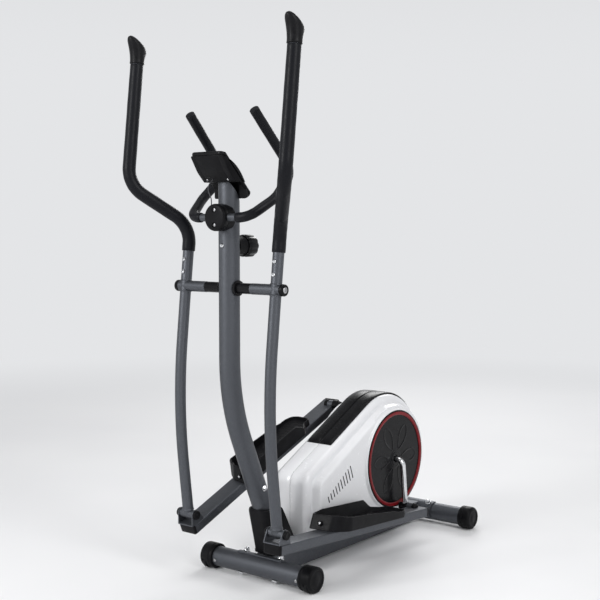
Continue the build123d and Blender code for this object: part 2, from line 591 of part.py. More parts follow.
with BuildPart() as discs:
    for side in (-1, 1):
        cylinder_x(side * DISC_X0, side * DISC_X1, CRANK_Y, CRANK_Z, DISC_R)
        cylinder_x(side * DISC_FACE, side * (DISC_X1 + 1), CRANK_Y, CRANK_Z, RING_R1 + 0.3,
                   mode=Mode.SUBTRACT)
        cylinder_x(side * DISC_X0, side * DISC_X1, CRANK_Y, CRANK_Z, 20)
    cylinder_x(-DISC_X1 - 1, DISC_X1 + 1, CRANK_Y, CRANK_Z, CRANK_ROD_R + 0.02, mode=Mode.SUBTRACT)
discs.part.label = "crank_discs"
export_step(discs.part, "parts/crank_discs.step")

with BuildPart() as rings:
    for side in (-1, 1):
        cylinder_x(side * (DISC_FACE + 0.05), side * (DISC_X1 + 1), CRANK_Y, CRANK_Z, RING_R1)
        cylinder_x(side * DISC_FACE, side * (DISC_X1 + 2), CRANK_Y, CRANK_Z, RING_R0, mode=Mode.SUBTRACT)
rings.part.label = "disc_rings"
export_step(rings.part, "parts/disc_rings.step")

with BuildPart() as pulley:
    cylinder_x(BELT_X0 - 1, BELT_X1 + 1, CRANK_Y, CRANK_Z, PULLEY_R)
    cylinder_x(BELT_X0 - 2, BELT_X0 + 2, CRANK_Y, CRANK_Z, PULLEY_R - 12, mode=Mode.SUBTRACT)
    cylinder_x(BELT_X1 - 2, BELT_X1 + 2, CRANK_Y, CRANK_Z, PULLEY_R - 12, mode=Mode.SUBTRACT)
    cylinder_x(BELT_X0 - 1, BELT_X1 + 1, CRANK_Y, CRANK_Z, 26)
    cylinder_x(BELT_X0 - 2, BELT_X1 + 2, CRANK_Y, CRANK_Z, CRANK_ROD_R + 0.02, mode=Mode.SUBTRACT)
    with Locations(Location(((BELT_X0 + BELT_X1) / 2, CRANK_Y, CRANK_Z), (0, 90, 0))):
        with PolarLocations(60, 5):
            Cylinder(19, 20, mode=Mode.SUBTRACT)
pulley.part.label = "drive_pulley"
export_step(pulley.part, "parts/drive_pulley.step")

with BuildPart() as bearings:
    for side in (-1, 1):
        cylinder_x(side * 24, side * 37, CRANK_Y, CRANK_Z, 17.5)
    cylinder_x(-40, 40, CRANK_Y, CRANK_Z, CRANK_ROD_R + RUN, mode=Mode.SUBTRACT)
bearings.part.label = "crank_bearings"
export_step(bearings.part, "parts/crank_bearings.step")

# ---------------------------------------------------------------- flywheel and brake
with BuildPart() as flywheel:
    cylinder_x(-16, 5, FLY_Y, FLY_Z, FLY_R)
    cylinder_x(-17, -11, FLY_Y, FLY_Z, FLY_R - 18, mode=Mode.SUBTRACT)
    cylinder_x(0, 6, FLY_Y, FLY_Z, FLY_R - 18, mode=Mode.SUBTRACT)
    cylinder_x(-20, 20, FLY_Y, FLY_Z, SHEAVE_R)
    cylinder_x(-21, 21, FLY_Y, FLY_Z, 8 + RUN, mode=Mode.SUBTRACT)
flywheel.part.label = "flywheel"
export_step(flywheel.part, "parts/flywheel.step")

with BuildPart() as fly_axle:
    cylinder_x(-38, 38, FLY_Y, FLY_Z, 8)
fly_axle.part.label = "flywheel_axle"
export_step(fly_axle.part, "parts/flywheel_axle.step")

MAGNET_IN = FLY_R + 6.0
MAGNET_OUT = MAGNET_IN + 7.0
with BuildPart() as magnets:
    with BuildSketch(side_plane(-16)):
        with BuildLine():
            CenterArc((FLY_Y, FLY_Z), MAGNET_IN, 66, 92)
            Line((FLY_Y + MAGNET_IN * cos(radians(158)), FLY_Z + MAGNET_IN * sin(radians(158))),
                 (FLY_Y + MAGNET_OUT * cos(radians(158)), FLY_Z + MAGNET_OUT * sin(radians(158))))
            CenterArc((FLY_Y, FLY_Z), MAGNET_OUT, 66, 92)
            Line((FLY_Y + MAGNET_IN * cos(radians(66)), FLY_Z + MAGNET_IN * sin(radians(66))),
                 (FLY_Y + MAGNET_OUT * cos(radians(66)), FLY_Z + MAGNET_OUT * sin(radians(66))))
        make_face()
    extrude(amount=21)
    cylinder_x(-36, 36, FLY_Y + 34.5, FLY_Z + 95, 5)
magnets.part.label = "magnet_bracket"
export_step(magnets.part, "parts/magnet_bracket.step")

# Belt: two arcs and two straight runs, tangent to both wheels
gap_y = CRANK_Y - FLY_Y
gap_z = CRANK_Z - FLY_Z
reach = hypot(gap_y, gap_z)
incline = atan2(gap_z, gap_y)
wrap = asin((PULLEY_R - SHEAVE_R) / reach)


def belt_outline(extra):
    """Closed outline of the belt, this far outside both wheels."""
    big = PULLEY_R + extra
    small = SHEAVE_R + extra
    upper = incline + radians(90) + wrap
    lower = incline - radians(90) - wrap
    big_up = (CRANK_Y + big * cos(upper), CRANK_Z + big * sin(upper))
    big_low = (CRANK_Y + big * cos(lower), CRANK_Z + big * sin(lower))
    small_up = (FLY_Y + small * cos(upper), FLY_Z + small * sin(upper))
    small_low = (FLY_Y + small * cos(lower), FLY_Z + small * sin(lower))
    big_far = (CRANK_Y + big * cos(incline), CRANK_Z + big * sin(incline))
    small_far = (FLY_Y - small * cos(incline), FLY_Z - small * sin(incline))
    with BuildLine() as outline:
        ThreePointArc(big_up, big_far, big_low)
        Line(big_low, small_low)
        ThreePointArc(small_low, small_far, small_up)
        Line(small_up, big_up)
    return outline.line


with BuildPart() as belt:
    with BuildSketch(side_plane(BELT_X0)):
        make_face(belt_outline(BELT_GAP + BELT_T))
        make_face(belt_outline(BELT_GAP), mode=Mode.SUBTRACT)
    extrude(amount=BELT_X1 - BELT_X0)
belt.part.label = "drive_belt"
export_step(belt.part, "parts/drive_belt.step")


# ---------------------------------------------------------------- housing
def shell_outline(inset):
    """Side outline of the housing, this far inside its skin: flat floor, round rear,
    sloping roof and a blunt nose."""
    r = SHELL_R - inset
    roof = radians(90 + ROOF_ANGLE)
    top = (SHELL_Y + r * cos(roof), SHELL_Z + r * sin(roof))
    rear = (SHELL_Y + r, SHELL_Z)
    floor = (SHELL_Y, SHELL_Z - r)
    nose_y = NOSE_Y + inset
    slope = tan(radians(ROOF_ANGLE))
    nose_top = (nose_y, top[1] - slope * (top[0] - nose_y))
    nose_low = (nose_y, SHELL_Z - r)
    with BuildLine() as outline:
        ThreePointArc(floor, rear, top)
        FilletPolyline(top, nose_top, nose_low, floor, radius=(NOSE_R - inset * 0.5, 14))
    return outline.line


for hand, side in HANDS:
    with BuildPart() as shell:
        with BuildSketch(side_plane(0)):
            make_face(shell_outline(0))
        extrude(amount=side * SHELL_HALF)
        fillet(shell.faces().sort_by(Axis.X)[-1 if side > 0 else 0].edges(), SHELL_EDGE_R)
        with BuildSketch(side_plane(side * (SHELL_HALF - 1))):
            make_face(shell_outline(PANEL_INSET))
        extrude(amount=side * (PANEL_OUT - SHELL_HALF + 1), taper=12)
        fillet(shell.faces().sort_by(Axis.X)[-1 if side > 0 else 0].edges(), 6)
        with BuildSketch(side_plane(0)):
            make_face(shell_outline(SHELL_WALL))
        extrude(amount=side * (SHELL_HALF - 20), mode=Mode.SUBTRACT)
        with BuildSketch(side_plane(0)):
            make_face(shell_outline(20))
        extrude(amount=side * (SHELL_HALF - SHELL_WALL), mode=Mode.SUBTRACT)
        with BuildSketch(side_plane(0)):
            make_face(shell_outline(PANEL_INSET + 9))
        extrude(amount=side * (PANEL_OUT - SHELL_WALL), mode=Mode.SUBTRACT)
        cylinder_x(0, side * 120, CRANK_Y, CRANK_Z, CRANK_ROD_R + 6, mode=Mode.SUBTRACT)
        # A row of slanted cooling slots, climbing towards the rear
        for k in range(10):
            with BuildSketch(side_plane(side * (PANEL_OUT - 8))):
                with Locations((SHELL_Y - 368 + 13.3 * k, SHELL_Z - 70 + 7.2 * k)):
                    SlotOverall(22 + 2.5 * k, 4, rotation=110)
            extrude(amount=side * 20, mode=Mode.SUBTRACT)
        # The frame passes up through the floor
        block(0, side * (BEAM_HALF + 6), FLY_Y - 62, PLATE_END + 2, SHELL_FLOOR - 2, SHELL_FLOOR + 12,
              mode=Mode.SUBTRACT)
    shell.part.label = f"housing_{hand}"
    export_step(shell.part, f"parts/housing_{hand}.step")

# Black strip over the roof and the top of the round end
with BuildPart() as roof:
    with BuildSketch(side_plane(-COVER_HALF)):
        make_face(shell_outline(-COVER_T))
        make_face(shell_outline(-0.1), mode=Mode.SUBTRACT)
        with BuildLine():
            Polyline((SHELL_Y, SHELL_Z), (SHELL_Y + 285, SHELL_Z + 219), (SHELL_Y + 285, SHELL_Z + 320),
                     (SHELL_Y - 334, SHELL_Z + 320), (SHELL_Y - 334, SHELL_Z + 163),
                     (SHELL_Y - 262, SHELL_Z + 20), close=True)
        make_face(mode=Mode.INTERSECT)
    extrude(amount=2 * COVER_HALF)
roof.part.label = "housing_cover"
export_step(roof.part, "parts/housing_cover.step")

# ---------------------------------------------------------------- handlebar
BAR_TURN_X = 108.0
BAR_POINTS = ((BAR_TURN_X, BAR_Y, BAR_Z), (138, BAR_Y + 80, BAR_Z + 54), (128, BAR_Y + 166, BAR_Z + 130),
              (119.6, BAR_Y + 12, BAR_Z + 290))
BAR_RADII = (45, 80, 40)


def mirrored(point):
    """The same point on the other side of the machine."""
    return (-point[0], point[1], point[2])


with BuildPart() as bar:
    with BuildLine() as bar_path:
        FilletPolyline(*[mirrored(point) for point in reversed(BAR_POINTS)], *BAR_POINTS,
                       radius=(*reversed(BAR_RADII), *BAR_RADII))
    with BuildSketch(start_plane(bar_path.line)):
        Circle(BAR_R)
        Circle(BAR_R - 1.8, mode=Mode.SUBTRACT)
    sweep()
bar.part.label = "handlebar"
export_step(bar.part, "parts/handlebar.step")

with BuildPart() as bar_grips:
    for hand, side in HANDS:
        points = [(side * point[0], point[1], point[2]) for point in BAR_POINTS]
        with BuildLine() as bar_grip_path:
            FilletPolyline((side * 66, BAR_Y, BAR_Z), *points, radius=BAR_RADII)
        with BuildSketch(start_plane(bar_grip_path.line)):
            Circle(GRIP_R)
            Circle(BAR_R + 0.02, mode=Mode.SUBTRACT)
        sweep(path=bar_grip_path.line)
        end = bar_grip_path.line @ 1
        with BuildSketch(Plane(origin=end, z_dir=bar_grip_path.line % 1)):
            Circle(GRIP_R)
        extrude(amount=3)
bar_grips.part.label = "handlebar_grips"
export_step(bar_grips.part, "parts/handlebar_grips.step")

SPLIT_Y = BAR_Y - 0.2
with BuildPart() as saddle:
    cylinder_y(POST_Y - 14, SPLIT_Y + 0.4, 0, BAR_Z, CLAMP_R)
    cylinder_x(-60, 60, BAR_Y, BAR_Z, BAR_R + 0.02, mode=Mode.SUBTRACT)
    with Locations((0, POST_Y, BAR_Z)):
        Cylinder(POST_R + 0.02, 120, mode=Mode.SUBTRACT)
saddle.part.label = "clamp_saddle"
export_step(saddle.part, "parts/clamp_saddle.step")

with BuildPart() as clamp:
    cylinder_y(BAR_Y - 22, SPLIT_Y, 0, BAR_Z, CLAMP_R)
    fillet(clamp.edges().group_by(Axis.Y)[0], 7)
    cylinder_x(-60, 60, BAR_Y, BAR_Z, BAR_R + 0.02, mode=Mode.SUBTRACT)
    for z in (BAR_Z - 21, BAR_Z + 21):
        cylinder_y(BAR_Y - 23, BAR_Y - 18, 0, z, 7, mode=Mode.SUBTRACT)
clamp.part.label = "clamp_cap"
export_step(clamp.part, "parts/clamp_cap.step")

# Small screws of the frame: clamp, front end caps and back of the console
CAP_SCREW_X = FRONT_FOOT_HALF - CAP_LENGTH - 9
CONSOLE_SCREW = (38.0, POST_Y - 46.6, 1174.0)
with BuildPart() as frame_screws:
    for z in (BAR_Z - 21, BAR_Z + 21):
        cylinder_y(BAR_Y - 20.5, BAR_Y - 18, 0, z, 6)
    for side in (-1, 1):
        cap_face = Plane(Location((side * CAP_SCREW_X, FRONT_Y, FOOT_Z), (100, 0, 0)))
        with BuildSketch(cap_face.offset(FOOT_R)):
            Circle(5)
        extrude(amount=2.2, taper=30)
        lid_face = Plane(origin=(side * CONSOLE_SCREW[0], *CONSOLE_SCREW[1:]), x_dir=(1, 0, 0),
                         z_dir=(0, -0.73, -0.684))
        with BuildSketch(lid_face):
            Circle(3.6)
        extrude(amount=2.2, taper=15)
frame_screws.part.label = "frame_screws"
export_step(frame_screws.part, "parts/frame_screws.step")

# ---------------------------------------------------------------- tension knob
KNOB_Y0 = POST_Y + POST_R + 24.0
with BuildPart() as knob_base:
    cylinder_y(POST_Y + 14, KNOB_Y0 - 0.5, 0, KNOB_Z, 27)
    with Locations((0, POST_Y, KNOB_Z)):
        Cylinder(POST_R + 0.02, 90, mode=Mode.SUBTRACT)
    cylinder_y(KNOB_Y0 - 14, KNOB_Y0, 0, KNOB_Z, 4 + RUN, mode=Mode.SUBTRACT)
knob_base.part.label = "knob_base"
export_step(knob_base.part, "parts/knob_base.step")

with BuildPart() as knob:
    cylinder_y(KNOB_Y0, KNOB_Y0 + 40, 0, KNOB_Z, KNOB_R)
    fillet(knob.edges().group_by(Axis.Y)[-1], 4)
    with Locations(Location((0, KNOB_Y0 + 22, KNOB_Z), (90, 0, 0))):
        with PolarLocations(KNOB_R + 2.5, 18):
            Cylinder(4, 50, mode=Mode.SUBTRACT)
    cylinder_y(KNOB_Y0 - 12, KNOB_Y0, 0, KNOB_Z, 4)
knob.part.label = "tension_knob"
export_step(knob.part, "parts/tension_knob.step")

# ---------------------------------------------------------------- console
# The user's face is part of a cylinder along X; angles run from +Y towards +Z
FACE_Y = POST_Y - 114.6
FACE_Z = 1108.9
FACE_R = 142.7
BEZEL_T = 10.2
FACE_LOW = 7.3
FACE_HIGH = 81.3


def face_point(angle, depth=0.0):
    """A point (y, z) this far behind the user's face."""
    turn = radians(angle)
    return (FACE_Y + (FACE_R - depth) * cos(turn), FACE_Z + (FACE_R - depth) * sin(turn))


def face_plane(angle, depth):
    """A plane behind the face and parallel to it, its sketch's y axis pointing up the face."""
    turn = radians(angle)
    return Plane(origin=(0, *face_point(angle, depth)), x_dir=(-1, 0, 0), z_dir=(0, cos(turn), sin(turn)))


def face_arc(depth):
    """The face's profile this far behind it, from its top to its bottom."""
    middle = (FACE_LOW + FACE_HIGH) / 2
    ThreePointArc(face_point(FACE_HIGH, depth), face_point(middle, depth), face_point(FACE_LOW, depth))


with BuildPart() as console_back:
    with BuildSketch(side_plane(-CONSOLE_HALF)):
        with BuildLine():
            face_arc(BEZEL_T)
            Polyline(face_point(FACE_LOW, BEZEL_T), (POST_Y - 23, 1115), (POST_Y - 38, 1165),
                     (POST_Y - 68, 1197), face_point(FACE_HIGH, BEZEL_T))
        make_face()
    extrude(amount=2 * CONSOLE_HALF)
    fillet(console_back.edges().filter_by(Axis.X).filter_by(lambda e: e.center().Y < POST_Y - 20), 5)
    with Locations((0, POST_Y, POST_TOP - 60)):
        Cylinder(POST_R + 0.02, 120.2, mode=Mode.SUBTRACT)
    block(-POST_R - 1, POST_R + 1, POST_Y - 100, POST_Y, POST_TOP - 80, POST_TOP - 10, mode=Mode.SUBTRACT)
console_back.part.label = "console_back"
export_step(console_back.part, "parts/console_back.step")

SCREEN_W = 76.0
SCREEN_H = 44.0
SCREEN_ANGLE = 60.0
BUTTON_R = 9.0
BUTTON_ANGLE = 29.0
with BuildPart() as console_front:
    with BuildSketch(side_plane(-CONSOLE_HALF)):
        with BuildLine():
            face_arc(0)
            Line(face_point(FACE_LOW), face_point(FACE_LOW, BEZEL_T))
            face_arc(BEZEL_T)
            Line(face_point(FACE_HIGH, BEZEL_T), face_point(FACE_HIGH))
        make_face()
    extrude(amount=2 * CONSOLE_HALF)
    with BuildSketch(face_plane(SCREEN_ANGLE, 5.0)):
        RectangleRounded(SCREEN_W, SCREEN_H, 3)
    extrude(amount=15, mode=Mode.SUBTRACT)
    with BuildSketch(face_plane(BUTTON_ANGLE, 8.0)):
        Circle(BUTTON_R + 0.3)
    extrude(amount=15, mode=Mode.SUBTRACT)
console_front.part.label = "console_front"
export_step(console_front.part, "parts/console_front.step")

with BuildPart() as screen:
    with BuildSketch(face_plane(SCREEN_ANGLE, 5.0)):
        RectangleRounded(SCREEN_W - 0.6, SCREEN_H - 0.6, 2.8)
    extrude(amount=2)
screen.part.label = "console_screen"
export_step(screen.part, "parts/console_screen.step")

with BuildPart() as button:
    with BuildSketch(face_plane(BUTTON_ANGLE, 6.2)):
        Circle(BUTTON_R)
    extrude(amount=8)
button.part.label = "mode_button"
export_step(button.part, "parts/mode_button.step")

# ---------------------------------------------------------------- sensor lead
LEAD_R = 1.5
LEAD_POINTS = ((-17, POST_Y - 47.8, 1174.6), (-20, POST_Y - 55, 1167), (-25.5, POST_Y - 58, 1156),
               (-27, POST_Y - 56.5, 1143), (-22.5, POST_Y - 53.5, 1131), (-19.5, POST_Y - 50.5, 1118.5),
               (-22.5, POST_Y - 48.5, 1102.9))
lead_vectors = [Vector(*point) for point in LEAD_POINTS]
lead_radii = []
for before, here, after in zip(lead_vectors, lead_vectors[1:], lead_vectors[2:]):
    turn = (here - before).get_angle(after - here)
    shorter = min((here - before).length, (after - here).length)
    lead_radii.append(0.45 * shorter / tan(radians(turn) / 2))
print("sensor lead radii:", [round(radius, 1) for radius in lead_radii])
with BuildPart() as lead:
    with BuildLine() as lead_path:
        FilletPolyline(*LEAD_POINTS, radius=lead_radii)
    with BuildSketch(start_plane(lead_path.line)):
        Circle(LEAD_R)
    sweep()
lead.part.label = "sensor_lead"
export_step(lead.part, "parts/sensor_lead.step")
print("sensor lead length:", round(sum(edge.length for edge in lead_path.edges()), 1))
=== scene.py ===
"""Looks of the elliptical trainer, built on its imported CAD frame.

Lengths are in millimetres, as in the frame's drawing, and become metres when a mesh is made.
X points to the user's left, Y to the rear foot and Z up. The origin is on the floor.
"""
import json
from math import asin, atan2, cos, exp, hypot, pi, radians, sin, tan

import bmesh
import bpy
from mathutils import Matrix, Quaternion, Vector


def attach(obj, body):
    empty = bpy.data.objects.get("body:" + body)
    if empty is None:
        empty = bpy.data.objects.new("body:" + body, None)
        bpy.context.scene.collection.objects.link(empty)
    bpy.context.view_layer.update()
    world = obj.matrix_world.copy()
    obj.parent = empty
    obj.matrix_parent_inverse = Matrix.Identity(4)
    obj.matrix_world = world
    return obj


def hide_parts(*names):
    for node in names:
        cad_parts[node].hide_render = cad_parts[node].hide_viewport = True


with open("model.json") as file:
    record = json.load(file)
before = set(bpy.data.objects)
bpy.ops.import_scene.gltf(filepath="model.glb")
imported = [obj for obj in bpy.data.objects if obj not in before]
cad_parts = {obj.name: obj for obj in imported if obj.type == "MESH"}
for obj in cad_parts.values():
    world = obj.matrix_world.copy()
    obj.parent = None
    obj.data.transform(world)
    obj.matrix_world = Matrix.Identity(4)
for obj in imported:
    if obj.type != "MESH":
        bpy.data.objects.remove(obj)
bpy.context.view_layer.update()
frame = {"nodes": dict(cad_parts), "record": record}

MM = 0.001
SIDES = (("left", 1), ("right", -1))
CORNERS = ((-1, -1), (1, -1), (1, 1), (-1, 1))

# Driving dimensions, the same as the frame's
FRONT_Y, REAR_Y, FOOT_Z = -318.5, 537.5, 38.0
FOOT_R = 30.0
FRONT_FOOT_HALF, REAR_FOOT_HALF = 211.5, 239.5
CAP_LENGTH, FOOT_TUBE_INSET = 45.0, 25.0
POST_Y, POST_R = -450.5, 30.0
POST_TOP, POST_TOP_REAR = 1178.0, 1100.0
POST_CORNER_Z, POST_SLOPE, POST_BEND_R = 545.0, 0.435, 600.0
BEAM_Z1 = 69.0
POST_BOLT_Z = 281.0
PIVOT_Z, ARM_X, ARM_R, HUB_R = 872.5, 170.0, 16.0, 15.7
HUB_IN, HUB_OUT, AXLE_R = 85.0, 190.6, 9.0
PIN_Y, PIN_Z = POST_Y + 4.0, 196.5
ARM_LEAN, ARM_RETURN, ARM_BEND_R = 0.107, 0.12, 1600.0
HANDLE_LEAN = 0.115
CRANK_Y, CRANK_Z, CRANK_R = 255.5, 277.0, 160.0
CRANK_ROD_R, CRANK_X, CRANK_EYE_R, CRANK_EYE_T = 9.0, 129.0, 15.0, 18.0
ARM_TOP, TUBE_W, TUBE_H = -27.0, 60.0, 30.0
REAR_PIN_RISE = -1.2
SHELL_Y, SHELL_Z, SHELL_R, SHELL_HALF = CRANK_Y + 8.0, 280.0, 205.0, 64.0
PANEL_OUT, PANEL_INSET = 94.0, 26.0
NOSE_Y, NOSE_R = CRANK_Y - 434.0, 45.0
ROOF = radians(27.0)
COVER_HALF = 47.0
BAR_Y, BAR_Z, BAR_R, GRIP_R = POST_Y - 41.5, 1070.0, 11.0, 14.0
KNOB_Z, KNOB_R = 990.0, 33.0
KNOB_Y0 = POST_Y + POST_R + 24.0
CONSOLE_HALF = 60.0

CRANK_ANGLE = atan2(CRANK_Z - PIN_Z, CRANK_Y - PIN_Y)
LINK = hypot(hypot(CRANK_Y - PIN_Y, CRANK_Z - PIN_Z), CRANK_R)
ARM_DIP = asin((-ARM_TOP - REAR_PIN_RISE) / LINK)
REAR_PIN_U, REAR_PIN_W = LINK * cos(ARM_DIP), ARM_TOP + REAR_PIN_RISE


# ------------------------------------------------------------------ materials
def span_node(tree, source, low, high, to_low, to_high, smooth=False):
    """Maps a value from one range to another."""
    span = tree.nodes.new("ShaderNodeMapRange")
    if smooth:
        span.interpolation_type = "SMOOTHSTEP"
    for socket, value in (("From Min", low), ("From Max", high), ("To Min", to_low), ("To Max", to_high)):
        span.inputs[socket].default_value = value
    tree.links.new(source, span.inputs["Value"])
    return span.outputs["Result"]


class Surface:
    """A node material: the shader's own values, and patterns in the row frame's coordinates."""

    def __init__(self, name, rough, metal=0.0, coat=0.0, coat_rough=0.1, sheen=0.0, specular=0.5):
        self.material = bpy.data.materials.new(name)
        self.material.use_nodes = True
        self.tree = self.material.node_tree
        self.shader = self.tree.nodes["Principled BSDF"]
        for socket, value in (("Roughness", rough), ("Metallic", metal), ("Coat Weight", coat),
                              ("Coat Roughness", coat_rough), ("Sheen Weight", sheen),
                              ("Specular IOR Level", specular)):
            self.shader.inputs[socket].default_value = value
        self.place = self.tree.nodes.new("ShaderNodeTexCoord")

    def node(self, kind, **values):
        made = self.tree.nodes.new("ShaderNode" + kind)
        for key, value in values.items():
            if key in made.inputs:
                made.inputs[key].default_value = value
            else:
                setattr(made, key, value)
        return made

    def link(self, source, target):
        self.tree.links.new(source, target)

    def place_scaled(self, size, stretch=(1, 1, 1)):
        """The row frame's coordinates, for a pattern about size millimetres across."""
        scale = self.node("Mapping")
        scale.inputs["Scale"].default_value = [s / (size * MM) for s in stretch]
        self.link(self.place.outputs["Object"], scale.inputs["Vector"])
        return scale.outputs["Vector"]

    def noise(self, size, detail, stretch=(1, 1, 1)):
        place = self.place_scaled(size, stretch)
        noise = self.node("TexNoise", Scale=1.0, Detail=detail, Roughness=0.5)
        self.link(place, noise.inputs["Vector"])
        return noise.outputs["Fac"]

    def cells(self, size):
        place = self.place_scaled(size)
        cells = self.node("TexVoronoi", feature="F1", Scale=1.0)
        self.link(place, cells.inputs["Vector"])
        return cells.outputs["Distance"]

    def colour(self, fac, *stops):
        """Colours along a pattern: (position, (r, g, b)) each."""
        ramp = self.node("ValToRGB")
        elements = ramp.color_ramp.elements
        while len(elements) < len(stops):
            elements.new(0.5)
        for element, (position, rgb) in zip(elements, stops):
            element.position = position
            element.color = (*rgb, 1)
        self.link(fac, ramp.inputs["Fac"])
        self.link(ramp.outputs["Color"], self.shader.inputs["Base Color"])

    def spread(self, fac, low, high):
        """Roughness that follows a pattern between two limits."""
        self.link(span_node(self.tree, fac, 0.3, 0.7, low, high), self.shader.inputs["Roughness"])

    def bump(self, fac, depth, strength):
        """Relief of this many millimetres, added to what is there."""
        bump = self.node("Bump", Strength=strength, Distance=depth * MM)
        self.link(fac, bump.inputs["Height"])
        normal = self.shader.inputs["Normal"]
        if normal.is_linked:
            self.link(normal.links[0].from_socket, bump.inputs["Normal"])
        self.link(bump.outputs["Normal"], normal)


def surface(name, shader, colour, gloss, *reliefs, slot=None):
    """Makes a material of patterns; the slot argument is not used.

    colour: size and detail of its noise, then (position, (r, g, b)) stops. gloss: size and detail of its
    noise, then the roughness's two limits. Each relief: size, detail (none for cells), depth, strength and
    any stretch.
    """
    s = Surface(name, **shader)
    size, detail, *stops = colour
    s.colour(s.noise(size, detail), *stops)
    size, detail, low, high = gloss
    s.spread(s.noise(size, detail), low, high)
    for size, detail, depth, strength, *stretch in reliefs:
        s.bump(s.noise(size, detail, *stretch) if detail else s.cells(size), depth, strength)
    return s


def two_tone(size, detail, dark, light):
    """A colour pattern between two tones."""
    return size, detail, (0.30, dark), (0.70, light)


# Dark metallic powder coat: fine flake, orange peel and a clear top
PAINT = surface("frame_paint", dict(rough=0.48, metal=0.85, coat=0.10, coat_rough=0.40, specular=0.35),
                (0.9, 4.0, (0.30, (0.062, 0.066, 0.075)), (0.55, (0.100, 0.106, 0.119)),
                 (0.75, (0.170, 0.180, 0.198))), (14.0, 4.0, 0.43, 0.53), (1.6, 2.0, 0.03, 0.35)).material
# Moulded black plastic with a fine spark-eroded grain
BLACK = surface("black_plastic", dict(rough=0.40, specular=0.11),
                two_tone(30.0, 5.0, (0.0035, 0.0035, 0.0042), (0.0075, 0.0075, 0.0088)),
                (9.0, 4.0, 0.34, 0.46), (0.7, None, 0.10, 0.55)).material
# Smoother black plastic, for the cover, discs and knob
SATIN = surface("satin_black", dict(rough=0.26, specular=0.16),
                two_tone(40.0, 4.0, (0.0032, 0.0032, 0.0038), (0.0062, 0.0062, 0.0074)),
                (60.0, 3.0, 0.24, 0.30), (1.2, 2.0, 0.008, 0.25), slot="black_plastic").material
# Closed-cell grip foam: skinned, with small pores
FOAM = surface("foam", dict(rough=0.42, sheen=0.01, specular=0.15),
               (1.5, 5.0, (0.30, (0.0035, 0.0037, 0.0052)), (0.60, (0.0065, 0.0070, 0.0096)),
                (0.80, (0.012, 0.013, 0.017))),
               (18.0, 3.0, 0.36, 0.48), (1.1, None, 0.08, 0.4), (22.0, 2.0, 0.25, 0.2)).material
# Gloss white ABS with faint flow variation and fine swirl in its polish
WHITE = surface("white_shell", dict(rough=0.24, coat=0.25, coat_rough=0.08),
                two_tone(120.0, 3.0, (0.765, 0.768, 0.785), (0.785, 0.788, 0.803)),
                (16.0, 5.0, 0.22, 0.28), (11.0, 2.0, 0.03, 0.15)).material
# Dark red satin
RED = surface("red_trim", dict(rough=0.32, coat=0.08, coat_rough=0.12, specular=0.2),
              two_tone(25.0, 4.0, (0.150, 0.0030, 0.006), (0.215, 0.0055, 0.010)),
              (7.0, 4.0, 0.26, 0.40), (0.9, 2.0, 0.03, 0.4)).material
# Plated steel with hairline scratches and light dulling
CHROME = surface("chrome", dict(rough=0.12, metal=1.0),
                 two_tone(20.0, 4.0, (0.60, 0.61, 0.63), (0.78, 0.79, 0.80)),
                 (5.0, 6.0, 0.06, 0.22), (0.8, 3.0, 0.015, 0.5, (1, 1, 0.08))).material
# Turned steel
STEEL = surface("steel", dict(rough=0.3, metal=1.0),
                two_tone(6.0, 4.0, (0.36, 0.36, 0.37), (0.52, 0.52, 0.53)),
                (3.0, 4.0, 0.22, 0.40), (0.6, 2.0, 0.02, 0.6, (0.1, 1, 1))).material
# Cast flywheel with a machined skin
IRON = surface("cast_iron", dict(rough=0.5, metal=0.9),
               two_tone(4.0, 5.0, (0.10, 0.10, 0.11), (0.22, 0.22, 0.23)),
               (2.0, 4.0, 0.38, 0.62), (1.4, 4.0, 0.12, 0.7), slot="iron").material
# Mid-grey moulded plastic
GREY = surface("grey_plastic", dict(rough=0.45), two_tone(20.0, 4.0, (0.17, 0.17, 0.18), (0.22, 0.22, 0.23)),
               (8.0, 3.0, 0.38, 0.52), (0.8, None, 0.06, 0.5)).material
# Matt black rubber
RUBBER = surface("rubber", dict(rough=0.42, specular=0.14),
                 two_tone(12.0, 5.0, (0.0040, 0.0040, 0.0048), (0.0085, 0.0085, 0.0098)),
                 (6.0, 4.0, 0.34, 0.50), (0.9, 4.0, 0.10, 0.6), slot="black_plastic").material
# Soft grey cable cover
LEAD = surface("lead_cover", dict(rough=0.5),
               two_tone(3.0, 3.0, (0.030, 0.030, 0.034), (0.075, 0.075, 0.082)),
               (2.0, 2.0, 0.42, 0.56), (0.5, 2.0, 0.03, 0.5)).material
# Grey liquid-crystal window behind a clear cover
GLASS = surface("display", dict(rough=0.2, coat=1.0, coat_rough=0.03),
                two_tone(60.0, 3.0, (0.16, 0.18, 0.15), (0.21, 0.235, 0.20)),
                (10.0, 3.0, 0.16, 0.26), (0.4, 1.0, 0.01, 0.3)).material

WORLD_TINT = (0.97, 0.98, 1.0, 1)
HORIZON, ZENITH = 0.80, 0.30


FLOOR_HALF, FADE_FROM, FADE_TO = 40.0, 1.6, 5.5


